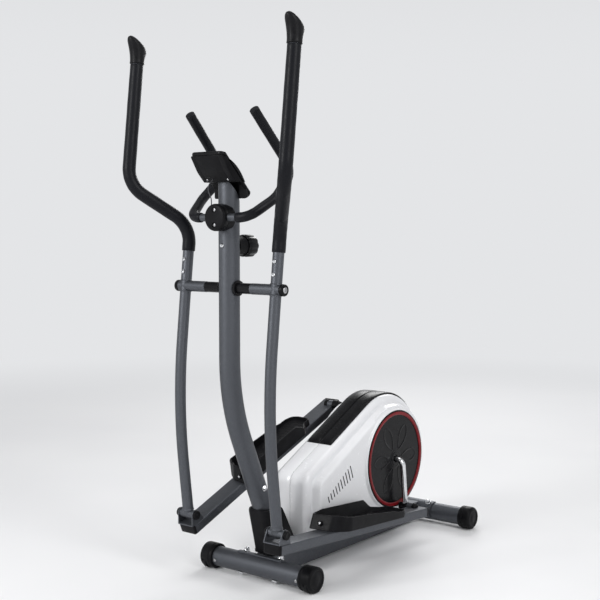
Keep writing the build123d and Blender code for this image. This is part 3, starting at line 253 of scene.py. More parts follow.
def pale_floor():
    """Matt floor that melts into the world's horizon far from the machine."""
    s = surface("pale_floor", dict(rough=0.6, specular=0.2),
                two_tone(900.0, 2.0, (0.84, 0.84, 0.85), (0.87, 0.87, 0.875)), (300.0, 2.0, 0.5, 0.65))
    reach = s.node("VectorMath", operation="LENGTH")
    s.link(s.place.outputs["Object"], reach.inputs[0])
    glow = s.node("Emission", Color=WORLD_TINT, Strength=HORIZON)
    blend = s.node("MixShader")
    output = next(node for node in s.tree.nodes if node.type == "OUTPUT_MATERIAL")
    s.link(span_node(s.tree, reach.outputs["Value"], FADE_FROM, FADE_TO, 0, 1, smooth=True), blend.inputs[0])
    s.link(output.inputs["Surface"].links[0].from_socket, blend.inputs[1])
    s.link(glow.outputs["Emission"], blend.inputs[2])
    s.link(blend.outputs["Shader"], output.inputs["Surface"])
    return s.material


SLOT_FINISH = {"frame_paint": PAINT, "black_plastic": BLACK, "foam": FOAM, "white_shell": WHITE,
               "red_trim": RED, "chrome": CHROME, "steel": STEEL, "iron": IRON, "grey_plastic": GREY,
               "belt_rubber": RUBBER, "lead_cover": LEAD, "display": GLASS}
for part in frame["record"]["subparts"]:
    cad_mesh = frame["nodes"][part["node"]].data
    cad_mesh.materials.clear()
    cad_mesh.materials.append(SLOT_FINISH[part["material_slot"]])


# ------------------------------------------------------------------ stage
# Name, place, aim, width and height in metres, power in watts
LAMPS = (("key", (3.7, -1.2, 3.0), (0, 0, 0.7), 1.2, 2.4, 70),
         ("strip", (-1.0, -3.5, 2.3), (0, 0, 0.8), 0.6, 2.0, 66),
         ("rim", (-1.6, 3.6, 2.8), (0, 0, 0.8), 2.0, 2.0, 60),
         ("top", (0.2, -0.2, 4.4), (0, 0, 0), 2.4, 2.4, 40))
CAMERA_PLACE, CAMERA_DIP, CAMERA_TURN, CAMERA_LENS = (2.0411, -2.7282, 1.0492), 3.96, 38.13, 65.0
# How high above the horizon the world starts and stops to darken
DARKEN_FROM, DARKEN_TO = 0.12, 0.75


def build_stage():
    """Pale floor, soft lights and the camera."""
    mesh = bpy.data.meshes.new("floor")
    mesh.from_pydata([(a * FLOOR_HALF, b * FLOOR_HALF, 0) for a, b in CORNERS], [], [(0, 1, 2, 3)])
    mesh.materials.append(pale_floor())
    floor = bpy.data.objects.new("floor", mesh)
    bpy.context.scene.collection.objects.link(floor)

    for name, place, aim, width, height, power in LAMPS:
        lamp = bpy.data.lights.new(name, "AREA")
        lamp.shape = "RECTANGLE"
        lamp.size = width
        lamp.size_y = height
        lamp.energy = power
        lamp_object = bpy.data.objects.new(name, lamp)
        lamp_object.location = place
        lamp_object.rotation_euler = (Vector(aim) - Vector(place)).to_track_quat("-Z", "Y").to_euler()
        bpy.context.scene.collection.objects.link(lamp_object)

    world = bpy.data.worlds.new("studio")
    world.use_nodes = True
    tree = world.node_tree
    background = tree.nodes["Background"]
    background.inputs["Color"].default_value = WORLD_TINT
    heading = tree.nodes.new("ShaderNodeTexCoord")
    parts = tree.nodes.new("ShaderNodeSeparateXYZ")
    tree.links.new(heading.outputs["Generated"], parts.inputs[0])
    tree.links.new(span_node(tree, parts.outputs["Z"], DARKEN_FROM, DARKEN_TO, HORIZON, ZENITH, smooth=True),
                   background.inputs["Strength"])
    scene = bpy.context.scene
    scene.world = world
    scene.view_settings.view_transform = "Standard"

    camera = bpy.data.cameras.new("camera")
    camera.sensor_width = 36.0
    camera.lens = CAMERA_LENS
    camera_object = bpy.data.objects.new("camera", camera)
    camera_object.location = CAMERA_PLACE
    camera_object.rotation_euler = (radians(90 - CAMERA_DIP), 0, radians(CAMERA_TURN))
    scene.collection.objects.link(camera_object)
    scene.camera = camera_object


build_stage()


# ------------------------------------------------------------------ building blocks
def vec_yz(x, point):
    """A point in space from a side-view point (y, z)."""
    return Vector((x, point[0], point[1]))


def fillet_path(points, radii, steps=14):
    """Straight runs joined by tangent arcs, with the same number of points on every arc."""
    corners = [Vector(point) for point in points]
    path = [corners[0]]
    for before, corner, after, radius in zip(corners, corners[1:], corners[2:], radii):
        back, ahead = (before - corner).normalized(), (after - corner).normalized()
        turn = pi - back.angle(ahead)
        centre = corner + (back + ahead).normalized() * (radius / cos(turn / 2))
        spoke = corner + back * (radius * tan(turn / 2)) - centre
        axis = back.cross(ahead).normalized()
        for k in range(steps + 1):
            path.append(centre + Quaternion(axis, -turn * k / steps) @ spoke)
    path.append(corners[-1])
    return path


def carried_frames(path):
    """(point, two directions square to the path) along it, without twist."""
    frames = []
    side = None
    for i, point in enumerate(path):
        along = (path[min(i + 1, len(path) - 1)] - path[max(i - 1, 0)]).normalized()
        if side is None:
            side = along.orthogonal().normalized()
        side = (side - along * side.dot(along)).normalized()
        frames.append((point, side, along.cross(side)))
    return frames


def ring_round(centre, first, second, radius, sides, second_radius=None):
    """A round or oval ring of points."""
    other = radius if second_radius is None else second_radius
    return [centre + first * (radius * cos(2 * pi * k / sides)) + second * (other * sin(2 * pi * k / sides))
            for k in range(sides)]


def skin(bm, rings, cap_start=False, cap_end=False, loop=False):
    """Quads between equal rings of points."""
    rows = [[bm.verts.new(point) for point in ring] for ring in rings]
    count = len(rows[0])
    spans = list(zip(rows, rows[1:])) + ([(rows[-1], rows[0])] if loop else [])
    for row, following in spans:
        for k in range(count):
            n = (k + 1) % count
            bm.faces.new((row[k], row[n], following[n], following[k]))
    if cap_start:
        bm.faces.new(list(reversed(rows[0])))
    if cap_end:
        bm.faces.new(rows[-1])


def lathe(bm, profile, origin, axis, sides=72):
    """Turns (distance along, radius) points round an axis; closes any end that isn't on it."""
    along = Vector(axis).normalized()
    first = along.orthogonal().normalized()
    second = along.cross(first)
    start = Vector(origin)
    rings = [ring_round(start + along * a, first, second, max(r, 0.02), sides) for a, r in profile]
    skin(bm, rings, cap_start=True, cap_end=True)


def shift(along, radius, points):
    """Profile points that are measured from (along, radius)."""
    return [(along + a, radius + r) for a, r in points]


FOAM_STEP, FOAM_SIDES = 9, 44


def sweep(bm, path, radius, lip, sides, closed=True, wave=None):
    """Rings along a path. lip is each end's own rings, (distance in, radius), from the outside in."""
    frames = carried_frames(path)
    rings = [ring_round(*frames[i], radius + (wave(i) if wave else 0.0), sides)
             for i in range(1, len(path) - 1)]
    start, end = ([ring_round(point + inward.normalized() * reach, first, second, r, sides)
                   for reach, r in lip]
                  for (point, first, second), inward in ((frames[0], path[1] - path[0]),
                                                         (frames[-1], path[-2] - path[-1])))
    skin(bm, start[::-1] + rings + end, cap_start=closed, cap_end=closed)


def tube(bm, path, radius, wall=2.0, sides=40, edge=0.6):
    """A pipe with eased ends that shows a little of its bore."""
    sweep(bm, path, radius, [(edge, radius), (0, radius - edge), (0, radius - wall), (25, radius - wall)],
          sides, closed=False)


def rod(bm, path, radius, sides=32, edge=0.8):
    """A solid bar with eased, closed ends."""
    sweep(bm, path, radius, [(edge, radius), (0, radius - edge)], sides)


def foam_sleeve(bm, path, radius, bore):
    """Foam over a tube: rounded ends and a faint unevenness along its length."""
    dense = []
    for a, b in zip(path, path[1:]):
        runs = max(1, int((b - a).length / FOAM_STEP))
        dense += [a.lerp(b, k / runs) for k in range(runs)]
    sweep(bm, [*dense, path[-1]], radius,
          [(1.6, radius), (0.5, radius - 0.5), (0, radius - 1.4), (0, bore + 0.1)], FOAM_SIDES,
          wave=lambda i: 0.12 * sin(i * 0.9) + 0.10 * sin(i * 0.37 + 1.0))


def slab(bm, outline, offset):
    """A straight-sided plate from an outline of points and the vector across its thickness."""
    rows = [[bm.verts.new(point + shift_by) for point in outline] for shift_by in (Vector(), offset)]
    bm.faces.new(list(reversed(rows[0])))
    bm.faces.new(rows[1])
    for k in range(len(outline)):
        n = (k + 1) % len(outline)
        bm.faces.new((rows[0][k], rows[0][n], rows[1][n], rows[1][k]))


def piece(name, bm, finish, body, replaces=(), sharp=38.0, ease=0.0):
    """Makes the object, in metres, and says what it rides on and stands for."""
    bmesh.ops.recalc_face_normals(bm, faces=bm.faces)
    bmesh.ops.scale(bm, vec=(MM, MM, MM), verts=bm.verts)
    mesh = bpy.data.meshes.new(name)
    bm.to_mesh(mesh)
    bm.free()
    mesh.materials.append(finish)
    for polygon in mesh.polygons:
        polygon.use_smooth = True
    mesh.set_sharp_from_angle(angle=radians(sharp))
    made = bpy.data.objects.new(name, mesh)
    bpy.context.scene.collection.objects.link(made)
    if ease:
        bevel = made.modifiers.new("ease", "BEVEL")
        bevel.width = ease * MM
        bevel.segments = 3
        bevel.limit_method = "ANGLE"
        bevel.angle_limit = radians(sharp)
        bevel.harden_normals = True
    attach(made, body)
    if replaces:
        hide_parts(*replaces)
    return made


# ------------------------------------------------------------------ housing
ARC_STEPS = 72


def shell_outline(inset):
    """The housing's side outline (y, z) this far inside its skin, always with as many points."""
    r = SHELL_R - inset
    roof_turn = pi / 2 + ROOF
    rear = [(SHELL_Y + r * cos(-pi / 2 + (roof_turn + pi / 2) * k / ARC_STEPS),
             SHELL_Z + r * sin(-pi / 2 + (roof_turn + pi / 2) * k / ARC_STEPS)) for k in range(ARC_STEPS + 1)]
    top = rear[-1]
    nose_y = NOSE_Y + inset
    corners = [vec_yz(0, top), Vector((0, nose_y, top[1] - tan(ROOF) * (top[0] - nose_y))),
               Vector((0, nose_y, SHELL_Z - r)), vec_yz(0, rear[0])]
    front = fillet_path(corners, (max(NOSE_R - inset * 0.5, 8.0), max(14.0 - inset * 0.3, 3.0)), steps=16)
    roof_run = [front[0].lerp(front[1], k / 12) for k in range(1, 12)]
    nose_run = [front[17].lerp(front[18], k / 6) for k in range(1, 6)]
    floor_run = [front[-2].lerp(front[-1], k / 12) for k in range(1, 12)]
    line = roof_run + front[1:18] + nose_run + front[18:-1] + floor_run
    return rear + [(point.y, point.z) for point in line]


def arc_levels(x0, inset0, radius, start, end, steps=8):
    """(x, inset) along a quarter round whose centre is at x0, inset0."""
    return [(x0 + radius * cos(start + (end - start) * k / steps),
             inset0 + radius * sin(start + (end - start) * k / steps)) for k in range(steps + 1)]


def housing_half(hand, side):
    """One shell of the housing with its cooling slots."""
    edge, rise, crown = 19.0, 7.0, 7.0
    levels = [(0.5, 1.6), (0.8, 0.6), (1.8, 0.0), (20.0, 0.0)]
    # From the rim over the big round edge to the side band
    levels += arc_levels(SHELL_HALF - edge, edge, edge, -pi / 2, 0, 12)
    levels += arc_levels(SHELL_HALF + rise, PANEL_INSET - rise + 2, rise, pi, pi / 2, 6)
    levels += arc_levels(PANEL_OUT - crown, PANEL_INSET + 13, crown, -pi / 2 + 0.35, 0, 8)
    levels += [(PANEL_OUT, 48.0), (PANEL_OUT, 58.0)]
    bm = bmesh.new()
    rings = [[Vector((side * x, y, z)) for y, z in shell_outline(inset)] for x, inset in levels]
    skin(bm, rings, cap_end=True)
    shell = piece(f"housing_shell_{hand}", bm, WHITE, "frame", [f"housing_{hand}"], sharp=50)

    # Cooling slots, longer towards the rear, cut right through the panel; their cut walls are black as painted
    # shade inside the housing
    cutter_bm = bmesh.new()
    lean = radians(110)
    up = Vector((0, cos(lean), sin(lean)))
    over = Vector((0, sin(lean), -cos(lean)))
    for k in range(10):
        centre = Vector((side * (PANEL_OUT - 6), SHELL_Y - 368 + 13.3 * k, SHELL_Z - 70 + 7.2 * k))
        half = 11 + 1.25 * k
        outline = []
        for end, turn in ((1, 0), (-1, pi)):
            for step in range(9):
                angle = turn + pi * step / 8
                outline.append(centre + up * (end * (half - 2.2)) + over * (2.2 * cos(angle))
                               + up * (2.2 * sin(angle)))
        slab(cutter_bm, outline, Vector((side * 14, 0, 0)))
    cut_from(shell, cutter_bm, BLACK)


def cut_from(target, cutter_bm, inside=None):
    """Cuts closed shapes, still in millimetres, out of a piece; the walls left can have their own finish, such
    as black for painted shade.
    """
    bmesh.ops.recalc_face_normals(cutter_bm, faces=cutter_bm.faces)
    bmesh.ops.scale(cutter_bm, vec=(MM, MM, MM), verts=cutter_bm.verts)
    mesh = bpy.data.meshes.new("cutter")
    cutter_bm.to_mesh(mesh)
    cutter_bm.free()
    finish = target.data.materials[0]
    mesh.materials.append(inside or finish)
    cutter = bpy.data.objects.new("cutter", mesh)
    bpy.context.scene.collection.objects.link(cutter)
    cut = target.modifiers.new("cut", "BOOLEAN")
    cut.object = cutter
    cut.solver = "EXACT"
    cut.material_mode = "TRANSFER"
    graph = bpy.context.evaluated_depsgraph_get()
    made = bpy.data.meshes.new_from_object(target.evaluated_get(graph))
    target.modifiers.clear()
    target.data = made
    bpy.data.objects.remove(cutter)
    made.set_sharp_from_angle(angle=radians(45))


def housing_cover():
    """Black strip with two long ribs, over the roof and the top of the round end."""
    rear_turn = atan2(137, 178)
    roof_turn = pi / 2 + ROOF
    spine = []
    for k in range(61):
        turn = rear_turn + (roof_turn - rear_turn) * k / 60
        spine.append((Vector((0, SHELL_Y + SHELL_R * cos(turn), SHELL_Z + SHELL_R * sin(turn))),
                      Vector((0, cos(turn), sin(turn)))))
    top, out = spine[-1]
    down = Vector((0, -cos(ROOF), -sin(ROOF)))
    front_y = SHELL_Y - 294
    run = (top.y - front_y) / cos(ROOF)
    spine += [(top + down * (run * k / 24), out) for k in range(1, 25)]
    # Height of the strip across its width
    half = COVER_HALF
    across = [(-half, 0.4), (-half, 3.6), (-half + 0.7, 5.2), (-half + 2.4, 6.2), (-24, 6.8), (-9, 7.0),
              (-3.4, 6.6), (-1.6, 5.2), (-0.7, 3.9), (0.7, 3.9), (1.6, 5.2), (3.4, 6.6), (9, 7.0), (24, 6.8),
              (half - 2.4, 6.2), (half - 0.7, 5.2), (half, 3.6), (half, 0.4)]
    bm = bmesh.new()
    ends = 3
    rings = []
    for i, (point, normal) in enumerate(spine):
        near = min(i, len(spine) - 1 - i)
        ease = 1.0 if near >= ends else (0.25, 0.72, 0.93)[near]
        rings.append([point + Vector((x, 0, 0)) + normal * (0.3 + (h - 0.3) * ease) for x, h in across])
    skin(bm, rings, cap_start=True, cap_end=True)
    piece("housing_top_cover", bm, SATIN, "frame", ["housing_cover"], sharp=30)


# ------------------------------------------------------------------ crank
def crank_ring(side, x, r, count, rise=lambda turn: 0.0):
    """A ring round the crank's axis."""
    turns = [2 * pi * k / count for k in range(count)]
    return [Vector((side * (x + rise(turn)), CRANK_Y + r * cos(turn), CRANK_Z + r * sin(turn)))
            for turn in turns]


def disc_collar(hand, side):
    """Raised lip of the housing round the disc."""
    bm = bmesh.new()
    profile = [(82, 161.0), (100.9, 161.0), (101.8, 161.7), (102.0, 162.8), (101.5, 164.2), (99.5, 165.6),
               (95.5, 167.6), (93.4, 170.5), (92.6, 175.0), (82, 175.0)]
    skin(bm, [crank_ring(side, x, r, 180) for x, r in profile], loop=True)
    piece(f"disc_collar_{hand}", bm, WHITE, "frame", sharp=50)


def crank_disc(hand, side):
    """Disc with six embossed leaves round its hub, and a rim that holds the red ring."""
    bm = bmesh.new()
    spokes = 360
    radii = [12 + 2.0 * k for k in range(67)] + [146.4]
    leaf_in, leaf_out, leaf_half, ridge = 34.0, 122.0, 21.0, 2.3

    def relief(r, turn):
        """Raised outlines of the leaves and of the hub."""
        height = 1.4 * exp(-((r - 27.0) / 2.4) ** 2) + (1.8 if r < 24 else 0.0)
        step = pi / 3
        local = (turn + step / 2) % step - step / 2
        along, across = r * cos(local), abs(r * sin(local))
        if leaf_in < along < leaf_out:
            part = (along - leaf_in) / (leaf_out - leaf_in)
            width = leaf_half * sin(pi * part) ** 0.65 * (0.65 + 0.55 * part)
            height += 1.5 * exp(-((across - width) / ridge) ** 2)
            if across < width:
                height -= 0.7
        return height

    def ring(x, r, embossed=False):
        return crank_ring(side, x, r, spokes, lambda turn: relief(r, turn) if embossed else 0.0)

    rings = [ring(96.6, 12.0)]
    rings += [ring(100.6, r, True) for r in radii]
    rings += [ring(101.4, 146.9), ring(101.4, 156.9), ring(103.0, 157.1), ring(103.5, 157.7),
              ring(103.5, 159.2), ring(102.9, 160.0), ring(97.2, 160.0), ring(96.6, 159.4)]
    skin(bm, rings, loop=True)
    replaced = ["crank_discs"] if hand == "left" else []
    piece(f"crank_disc_{hand}", bm, SATIN, "crank", replaced, sharp=40)

    bm = bmesh.new()
    profile = [(100.2, 145.4), (102.6, 145.4), (103.8, 146.6), (104.6, 149.2), (104.6, 154.6), (104.2, 155.9),
               (103.4, 156.4), (101.5, 156.4)]
    skin(bm, [ring(x, r) for x, r in profile], loop=True)
    replaced = ["disc_rings"] if hand == "left" else []
    piece(f"red_ring_{hand}", bm, RED, "crank", replaced, sharp=40)


def crank():
    """The bent bar with its eyes and nut caps."""
    low = (CRANK_Y + CRANK_R * sin(CRANK_ANGLE), CRANK_Z - CRANK_R * cos(CRANK_ANGLE))
    high = (CRANK_Y - CRANK_R * sin(CRANK_ANGLE), CRANK_Z + CRANK_R * cos(CRANK_ANGLE))
    bm = bmesh.new()
    path = fillet_path([vec_yz(CRANK_X, low), vec_yz(CRANK_X, (CRANK_Y, CRANK_Z)),
                        vec_yz(-CRANK_X, (CRANK_Y, CRANK_Z)), vec_yz(-CRANK_X, high)], (22, 22), steps=16)
    rod(bm, path, CRANK_ROD_R, sides=40)
    piece("crank_bar", bm, CHROME, "crank", ["crank_shaft"], sharp=40)

    bm = bmesh.new()
    for side, pin in ((1, low), (-1, high)):
        face, back = CRANK_X + CRANK_EYE_T / 2, CRANK_X - CRANK_EYE_T / 2
        lathe(bm, [(back, CRANK_EYE_R - 1), (back + 0.8, CRANK_EYE_R), (face - 0.8, CRANK_EYE_R),
                   (face, CRANK_EYE_R - 1)], (0, *pin), (side, 0, 0), sides=56)
    piece("crank_eyes", bm, SATIN, "crank", sharp=40)

    bm = bmesh.new()
    for side, pin in ((1, low), (-1, high)):
        face = CRANK_X - CRANK_EYE_T / 2
        lathe(bm, [(face - 12, 5), (face - 12, 8.5), (face - 11, 10.8), (face - 8.5, 12.2), (face - 4, 12.5),
                   (face - 0.1, 12.5)], (0, *pin), (side, 0, 0), sides=48)
    piece("crank_nut_caps", bm, BLACK, "crank", ["crank_nuts"], sharp=30)


# ------------------------------------------------------------------ tubes of the frame
def post_centre(z):
    """Y of the post's axis on its sloped run."""
    return POST_Y + (POST_CORNER_Z - z) * POST_SLOPE


def frame_tubes():
    """The post and both foot tubes."""
    bm = bmesh.new()
    path = fillet_path([(0, post_centre(BEAM_Z1), BEAM_Z1), (0, POST_Y, POST_CORNER_Z), (0, POST_Y, 1150)],
                       (POST_BEND_R,), steps=32)
    frames = carried_frames(path)
    rings = [ring_round(point, first, second, POST_R, 64) for point, first, second in frames]
    # The top is cut on a slant behind the console
    slope = (POST_TOP - POST_TOP_REAR) / (2 * POST_R)
    middle = (POST_TOP + POST_TOP_REAR) / 2
    rings[-1] = [Vector((point.x, point.y, middle - (point.y - POST_Y) * slope)) for point in rings[-1]]
    skin(bm, rings, cap_end=True)
    piece("post_tube", bm, PAINT, "frame", ["upright_post"], sharp=40)

    for name, foot_y, half in (("front", FRONT_Y, FRONT_FOOT_HALF), ("rear", REAR_Y, REAR_FOOT_HALF)):
        reach = half - FOOT_TUBE_INSET
        bm = bmesh.new()
        tube(bm, [Vector((x, foot_y, FOOT_Z)) for x in (-reach, -reach / 2, 0, reach / 2, reach)], FOOT_R,
             sides=64)
        piece(f"{name}_foot_tube", bm, PAINT, "frame", [f"{name}_stabiliser"])


def handle_y(z):
    """Y of a handle's axis on its lower run."""
    return POST_Y + HANDLE_LEAN * (z - PIVOT_Z)


HANDLE_TOP_Z = 1559.0
HANDLE_TOP_Y = POST_Y - 66.0
FLARE_X = 291.0
HANDLE_CORNER_Z, HANDLE_BEND_R, HANDLE_GRIP_R = 1047, 88, 19.0
GRIP_LOW_Z, GRIP_TOP_Z = 974, 1511.0


def swing_arm(hand, side):
    """A swinging arm: lower tube, hub, lug, handle pipe, grip and cap."""
    body = f"swing_{hand}"
    x = side * ARM_X
    corner_z = ((PIN_Y + ARM_RETURN * PIN_Z) - (POST_Y - ARM_LEAN * PIVOT_Z)) / (ARM_LEAN + ARM_RETURN)
    corner_y = POST_Y - ARM_LEAN * (PIVOT_Z - corner_z)
    bm = bmesh.new()
    path = fillet_path([(x, POST_Y, PIVOT_Z), (x, corner_y, corner_z), (x, PIN_Y, PIN_Z)], (ARM_BEND_R,),
                       steps=36)
    rod(bm, path, ARM_R, sides=48)
    stub = [Vector((x, handle_y(z), z)) for z in (PIVOT_Z, PIVOT_Z + 8, PIVOT_Z + 16)]
    rod(bm, stub, ARM_R, sides=48)
    lathe(bm, [(HUB_IN, AXLE_R + 1), (HUB_IN, HUB_R - 0.8), (HUB_IN + 0.8, HUB_R), (HUB_OUT - 0.8, HUB_R),
               (HUB_OUT, HUB_R - 0.8), (HUB_OUT, AXLE_R + 1)], (0, POST_Y, PIVOT_Z), (side, 0, 0), sides=64)
    # Weld beads where the tubes meet the hub
    for direction in ((0, -ARM_LEAN, -1), (0, HANDLE_LEAN, 1)):
        lathe(bm, shift(HUB_R, ARM_R, ((-4, -1), (-1.5, 1.6), (0.8, 1.3), (2.4, -0.2))), (x, POST_Y, PIVOT_Z),
              direction, sides=48)
    lug = 24.8
    lathe(bm, [(-lug, 7), (-lug, 12.2), (-lug + 0.8, 13), (lug - 0.8, 13), (lug, 12.2), (lug, 7)],
          (x, PIN_Y, PIN_Z), (1, 0, 0), sides=56)
    lathe(bm, shift(0, ARM_R, ((9.5, -1), (12.5, 1.4), (15.5, 0.9), (18, -0.2))), (x, PIN_Y, PIN_Z),
          (0, -ARM_RETURN, 1), sides=48)
    piece(f"swing_tube_{hand}", bm, PAINT, body, [f"swing_arm_{hand}"])

    joint_z = PIVOT_Z + 17
    corners = [(x, handle_y(joint_z), joint_z), (x, handle_y(HANDLE_CORNER_Z), HANDLE_CORNER_Z),
               (side * FLARE_X, POST_Y - 111.5, 1164.5), (side * FLARE_X, HANDLE_TOP_Y, HANDLE_TOP_Z)]
    bm = bmesh.new()
    tube(bm, fillet_path(corners, (HANDLE_BEND_R,) * 2, steps=24), ARM_R, sides=48)
    piece(f"handle_pipe_{hand}", bm, PAINT, body, [f"handle_tube_{hand}"])

    # Foam sleeve: eased ends, its surface swelling a little along its length
    up = (Vector(corners[3]) - Vector(corners[2])).normalized()
    grip_corners = [(x, handle_y(GRIP_LOW_Z), GRIP_LOW_Z), corners[1], corners[2],
                    Vector(corners[3]) - up * ((HANDLE_TOP_Z - GRIP_TOP_Z) / up.z)]
    bm = bmesh.new()
    foam_sleeve(bm, fillet_path(grip_corners, (HANDLE_BEND_R,) * 2, steps=26), HANDLE_GRIP_R, ARM_R)
    grip = piece(f"foam_grip_{hand}", bm, FOAM, body, [f"handle_grip_{hand}"])
    handle_cap(hand, side, up, Vector(corners[3]))


def handle_cap(hand, side, up, tip):
    """Flared rubber cap: low and full towards the user, drawn up to a rounded tip in front."""
    base = tip - up * 46
    across = Vector((1, 0, 0))
    rear = up.cross(across).normalized()
    profile = [  # front (y, height), rear (y, height), half width
        (-19.4, -0.5, 19.4, -0.5, 19.4), (-20.8, 0.4, 20.8, 0.4, 20.8), (-21.0, 2.2, 21.0, 2.2, 21.0),
        (-20.7, 5.0, 20.7, 5.0, 20.7), (-20.6, 8.0, 20.5, 8.0, 20.6), (-21.2, 14.0, 20.8, 12.0, 20.6),
        (-23.8, 28.0, 22.2, 19.0, 20.9), (-28.4, 42.0, 24.6, 25.0, 21.3), (-33.2, 54.0, 26.8, 30.0, 21.8),
        (-37.0, 63.0, 28.0, 34.5, 21.9), (-38.4, 68.5, 27.4, 39.0, 21.0), (-37.4, 72.8, 24.6, 43.6, 19.0),
        (-33.2, 75.4, 19.0, 48.2, 15.2), (-26.0, 75.2, 11.8, 54.0, 10.2), (-17.0, 72.0, 1.4, 61.6, 4.8),
        (-8.6, 68.0, -6.6, 66.8, 0.6)]
    rings = []
    for front_y, front_h, rear_y, rear_h, half_width in profile:
        front_point = base + rear * front_y + up * front_h
        rear_point = base + rear * rear_y + up * rear_h
        along = (rear_point - front_point) / 2
        rings.append(ring_round((front_point + rear_point) / 2, across, along.normalized(), half_width, 56,
                                along.length))
    bm = bmesh.new()
    skin(bm, rings, cap_start=True, cap_end=True)
    piece(f"rubber_cap_{hand}", bm, RUBBER, f"swing_{hand}", [f"handle_cap_{hand}"], sharp=60)


def box_ring(half_u, half_v, radius, steps=6):
    """Rounded rectangle round the origin as (u, v) points."""
    points = []
    for k, (su, sv) in enumerate(((1, 1), (-1, 1), (-1, -1), (1, -1))):
        for step in range(steps + 1):
            turn = pi / 2 * (k + step / steps)
            points.append((su * (half_u - radius) + radius * cos(turn),
                           sv * (half_v - radius) + radius * sin(turn)))
    return points


def rounded(points, radius, steps=6):
    """A closed 2-D outline with every corner rounded, as far as its sides allow."""
    line = []
    count = len(points)
    for k in range(count):
        before, corner, after = (Vector(points[(k + j) % count]) for j in (-1, 0, 1))
        back, ahead = before - corner, after - corner
        reach = min(radius, 0.45 * back.length, 0.45 * ahead.length)
        start, end = corner + back.normalized() * reach, corner + ahead.normalized() * reach
        for step in range(steps + 1):
            t = step / steps
            line.append(start * (1 - t) ** 2 + corner * (2 * t * (1 - t)) + end * t ** 2)
    return line


def hex_head(bm, centre, axis, radius, height):
    """Hexagon head with a chamfered top."""
    lathe(bm, [(0, radius), (height - 1.2, radius), (height, radius - 1.4)], centre, axis, sides=6)


def dome(bm, centre, axis, radius, height, start=0.0, sides=40):
    """A domed head standing on a point."""
    profile = [(start - 0.3, radius * 0.98), (start, radius)]
    profile += [(start + height * sin(pi / 2 * k / 8), radius * cos(pi / 2 * k / 8)) for k in range(1, 8)]
    lathe(bm, profile + [(start + height, 0.1)], centre, axis, sides)


def socket_head(bm, centre, axis, radius, height):
    """Button head with a recessed drive."""
    shape = ((0, 1), (0.35, 0.96), (0.75, 0.8), (1, 0.58), (1, 0.44), (0.4, 0.38))
    lathe(bm, [(-0.4, radius * 0.9), *((height * a, radius * r) for a, r in shape), (height * 0.4, 0.1)],
          centre, axis, sides=36)


def bore(target, cutters):
    """Cuts what each of these functions draws out of a piece."""
    cutter_bm = bmesh.new()
    for cutter in cutters:
        cutter(cutter_bm)
    cut_from(target, cutter_bm)


# ------------------------------------------------------------------ pedals and their arms
INNER_RIM = ((192, 40), (226, 44), (272, 49), (492, 48), (528, 22), (670, 17))
OUTER_RIM = ((192, 90), (220, 45), (250, 44), (420, 34), (585, 22), (670, 17))
PEDAL_WALL, PEDAL_FLOOR = 5.5, 10.0
PEDAL_X0, PEDAL_X1, PEDAL_HEEL_X = 115.0, 228.0, 139.5
PEDAL_U0, PEDAL_STEP_U, PEDAL_U1 = 212.0, 528.0, 594.0
PEDAL_SCREW_X, TREAD_ROWS, TREAD_PITCH = 152, 23, 15
BUSH_X0, BUSH_X1 = CRANK_X + CRANK_EYE_T / 2 + 1.5, 160.0
CLEVIS_HALF, CLEVIS_T = 29.5, 4.0


def height_on(profile, u):
    """The rim's height at u, between the profile's points."""
    for (u0, h0), (u1, h1) in zip(profile, profile[1:]):
        if u <= u1:
            return h0 + (h1 - h0) * (u - u0) / (u1 - u0)
    return profile[-1][1]


def pedal_outline(inset):
    """The pedal's outline from above as (distance from the middle plane, distance along the arm)."""
    return ((PEDAL_X0 + inset, PEDAL_U0 + 6 + inset), (PEDAL_X0 + inset, PEDAL_STEP_U - 4),
            (PEDAL_HEEL_X + inset, PEDAL_STEP_U + 26), (PEDAL_HEEL_X + inset, PEDAL_U1 - 12),
            (PEDAL_HEEL_X + 12 + inset, PEDAL_U1 - 2 - inset), (PEDAL_X1 - 34, PEDAL_U1 - inset),
            (PEDAL_X1 - 12 - inset / 2, PEDAL_U1 - 8 - inset / 2), (PEDAL_X1 - inset, PEDAL_U1 - 30 - inset),
            (PEDAL_X1 - inset, PEDAL_U0 + 62), (PEDAL_X1 - 11 - inset, PEDAL_U0 + 38 + inset / 2),
            (PEDAL_X1 - 42, PEDAL_U0 + 12 + inset), (PEDAL_X0 + 6 + inset, PEDAL_U0 + inset))


def pedal_line(inset):
    """The rounded outline with points all along its straight sides, always as many."""
    corners = rounded(pedal_outline(inset), 9, 5)
    line = []
    for a, b, count in zip(corners, corners[1:] + corners[:1], (1, 1, 1, 1, 1, 12) * 12):
        line += [a.lerp(b, k / count) for k in range(count)]
    return line


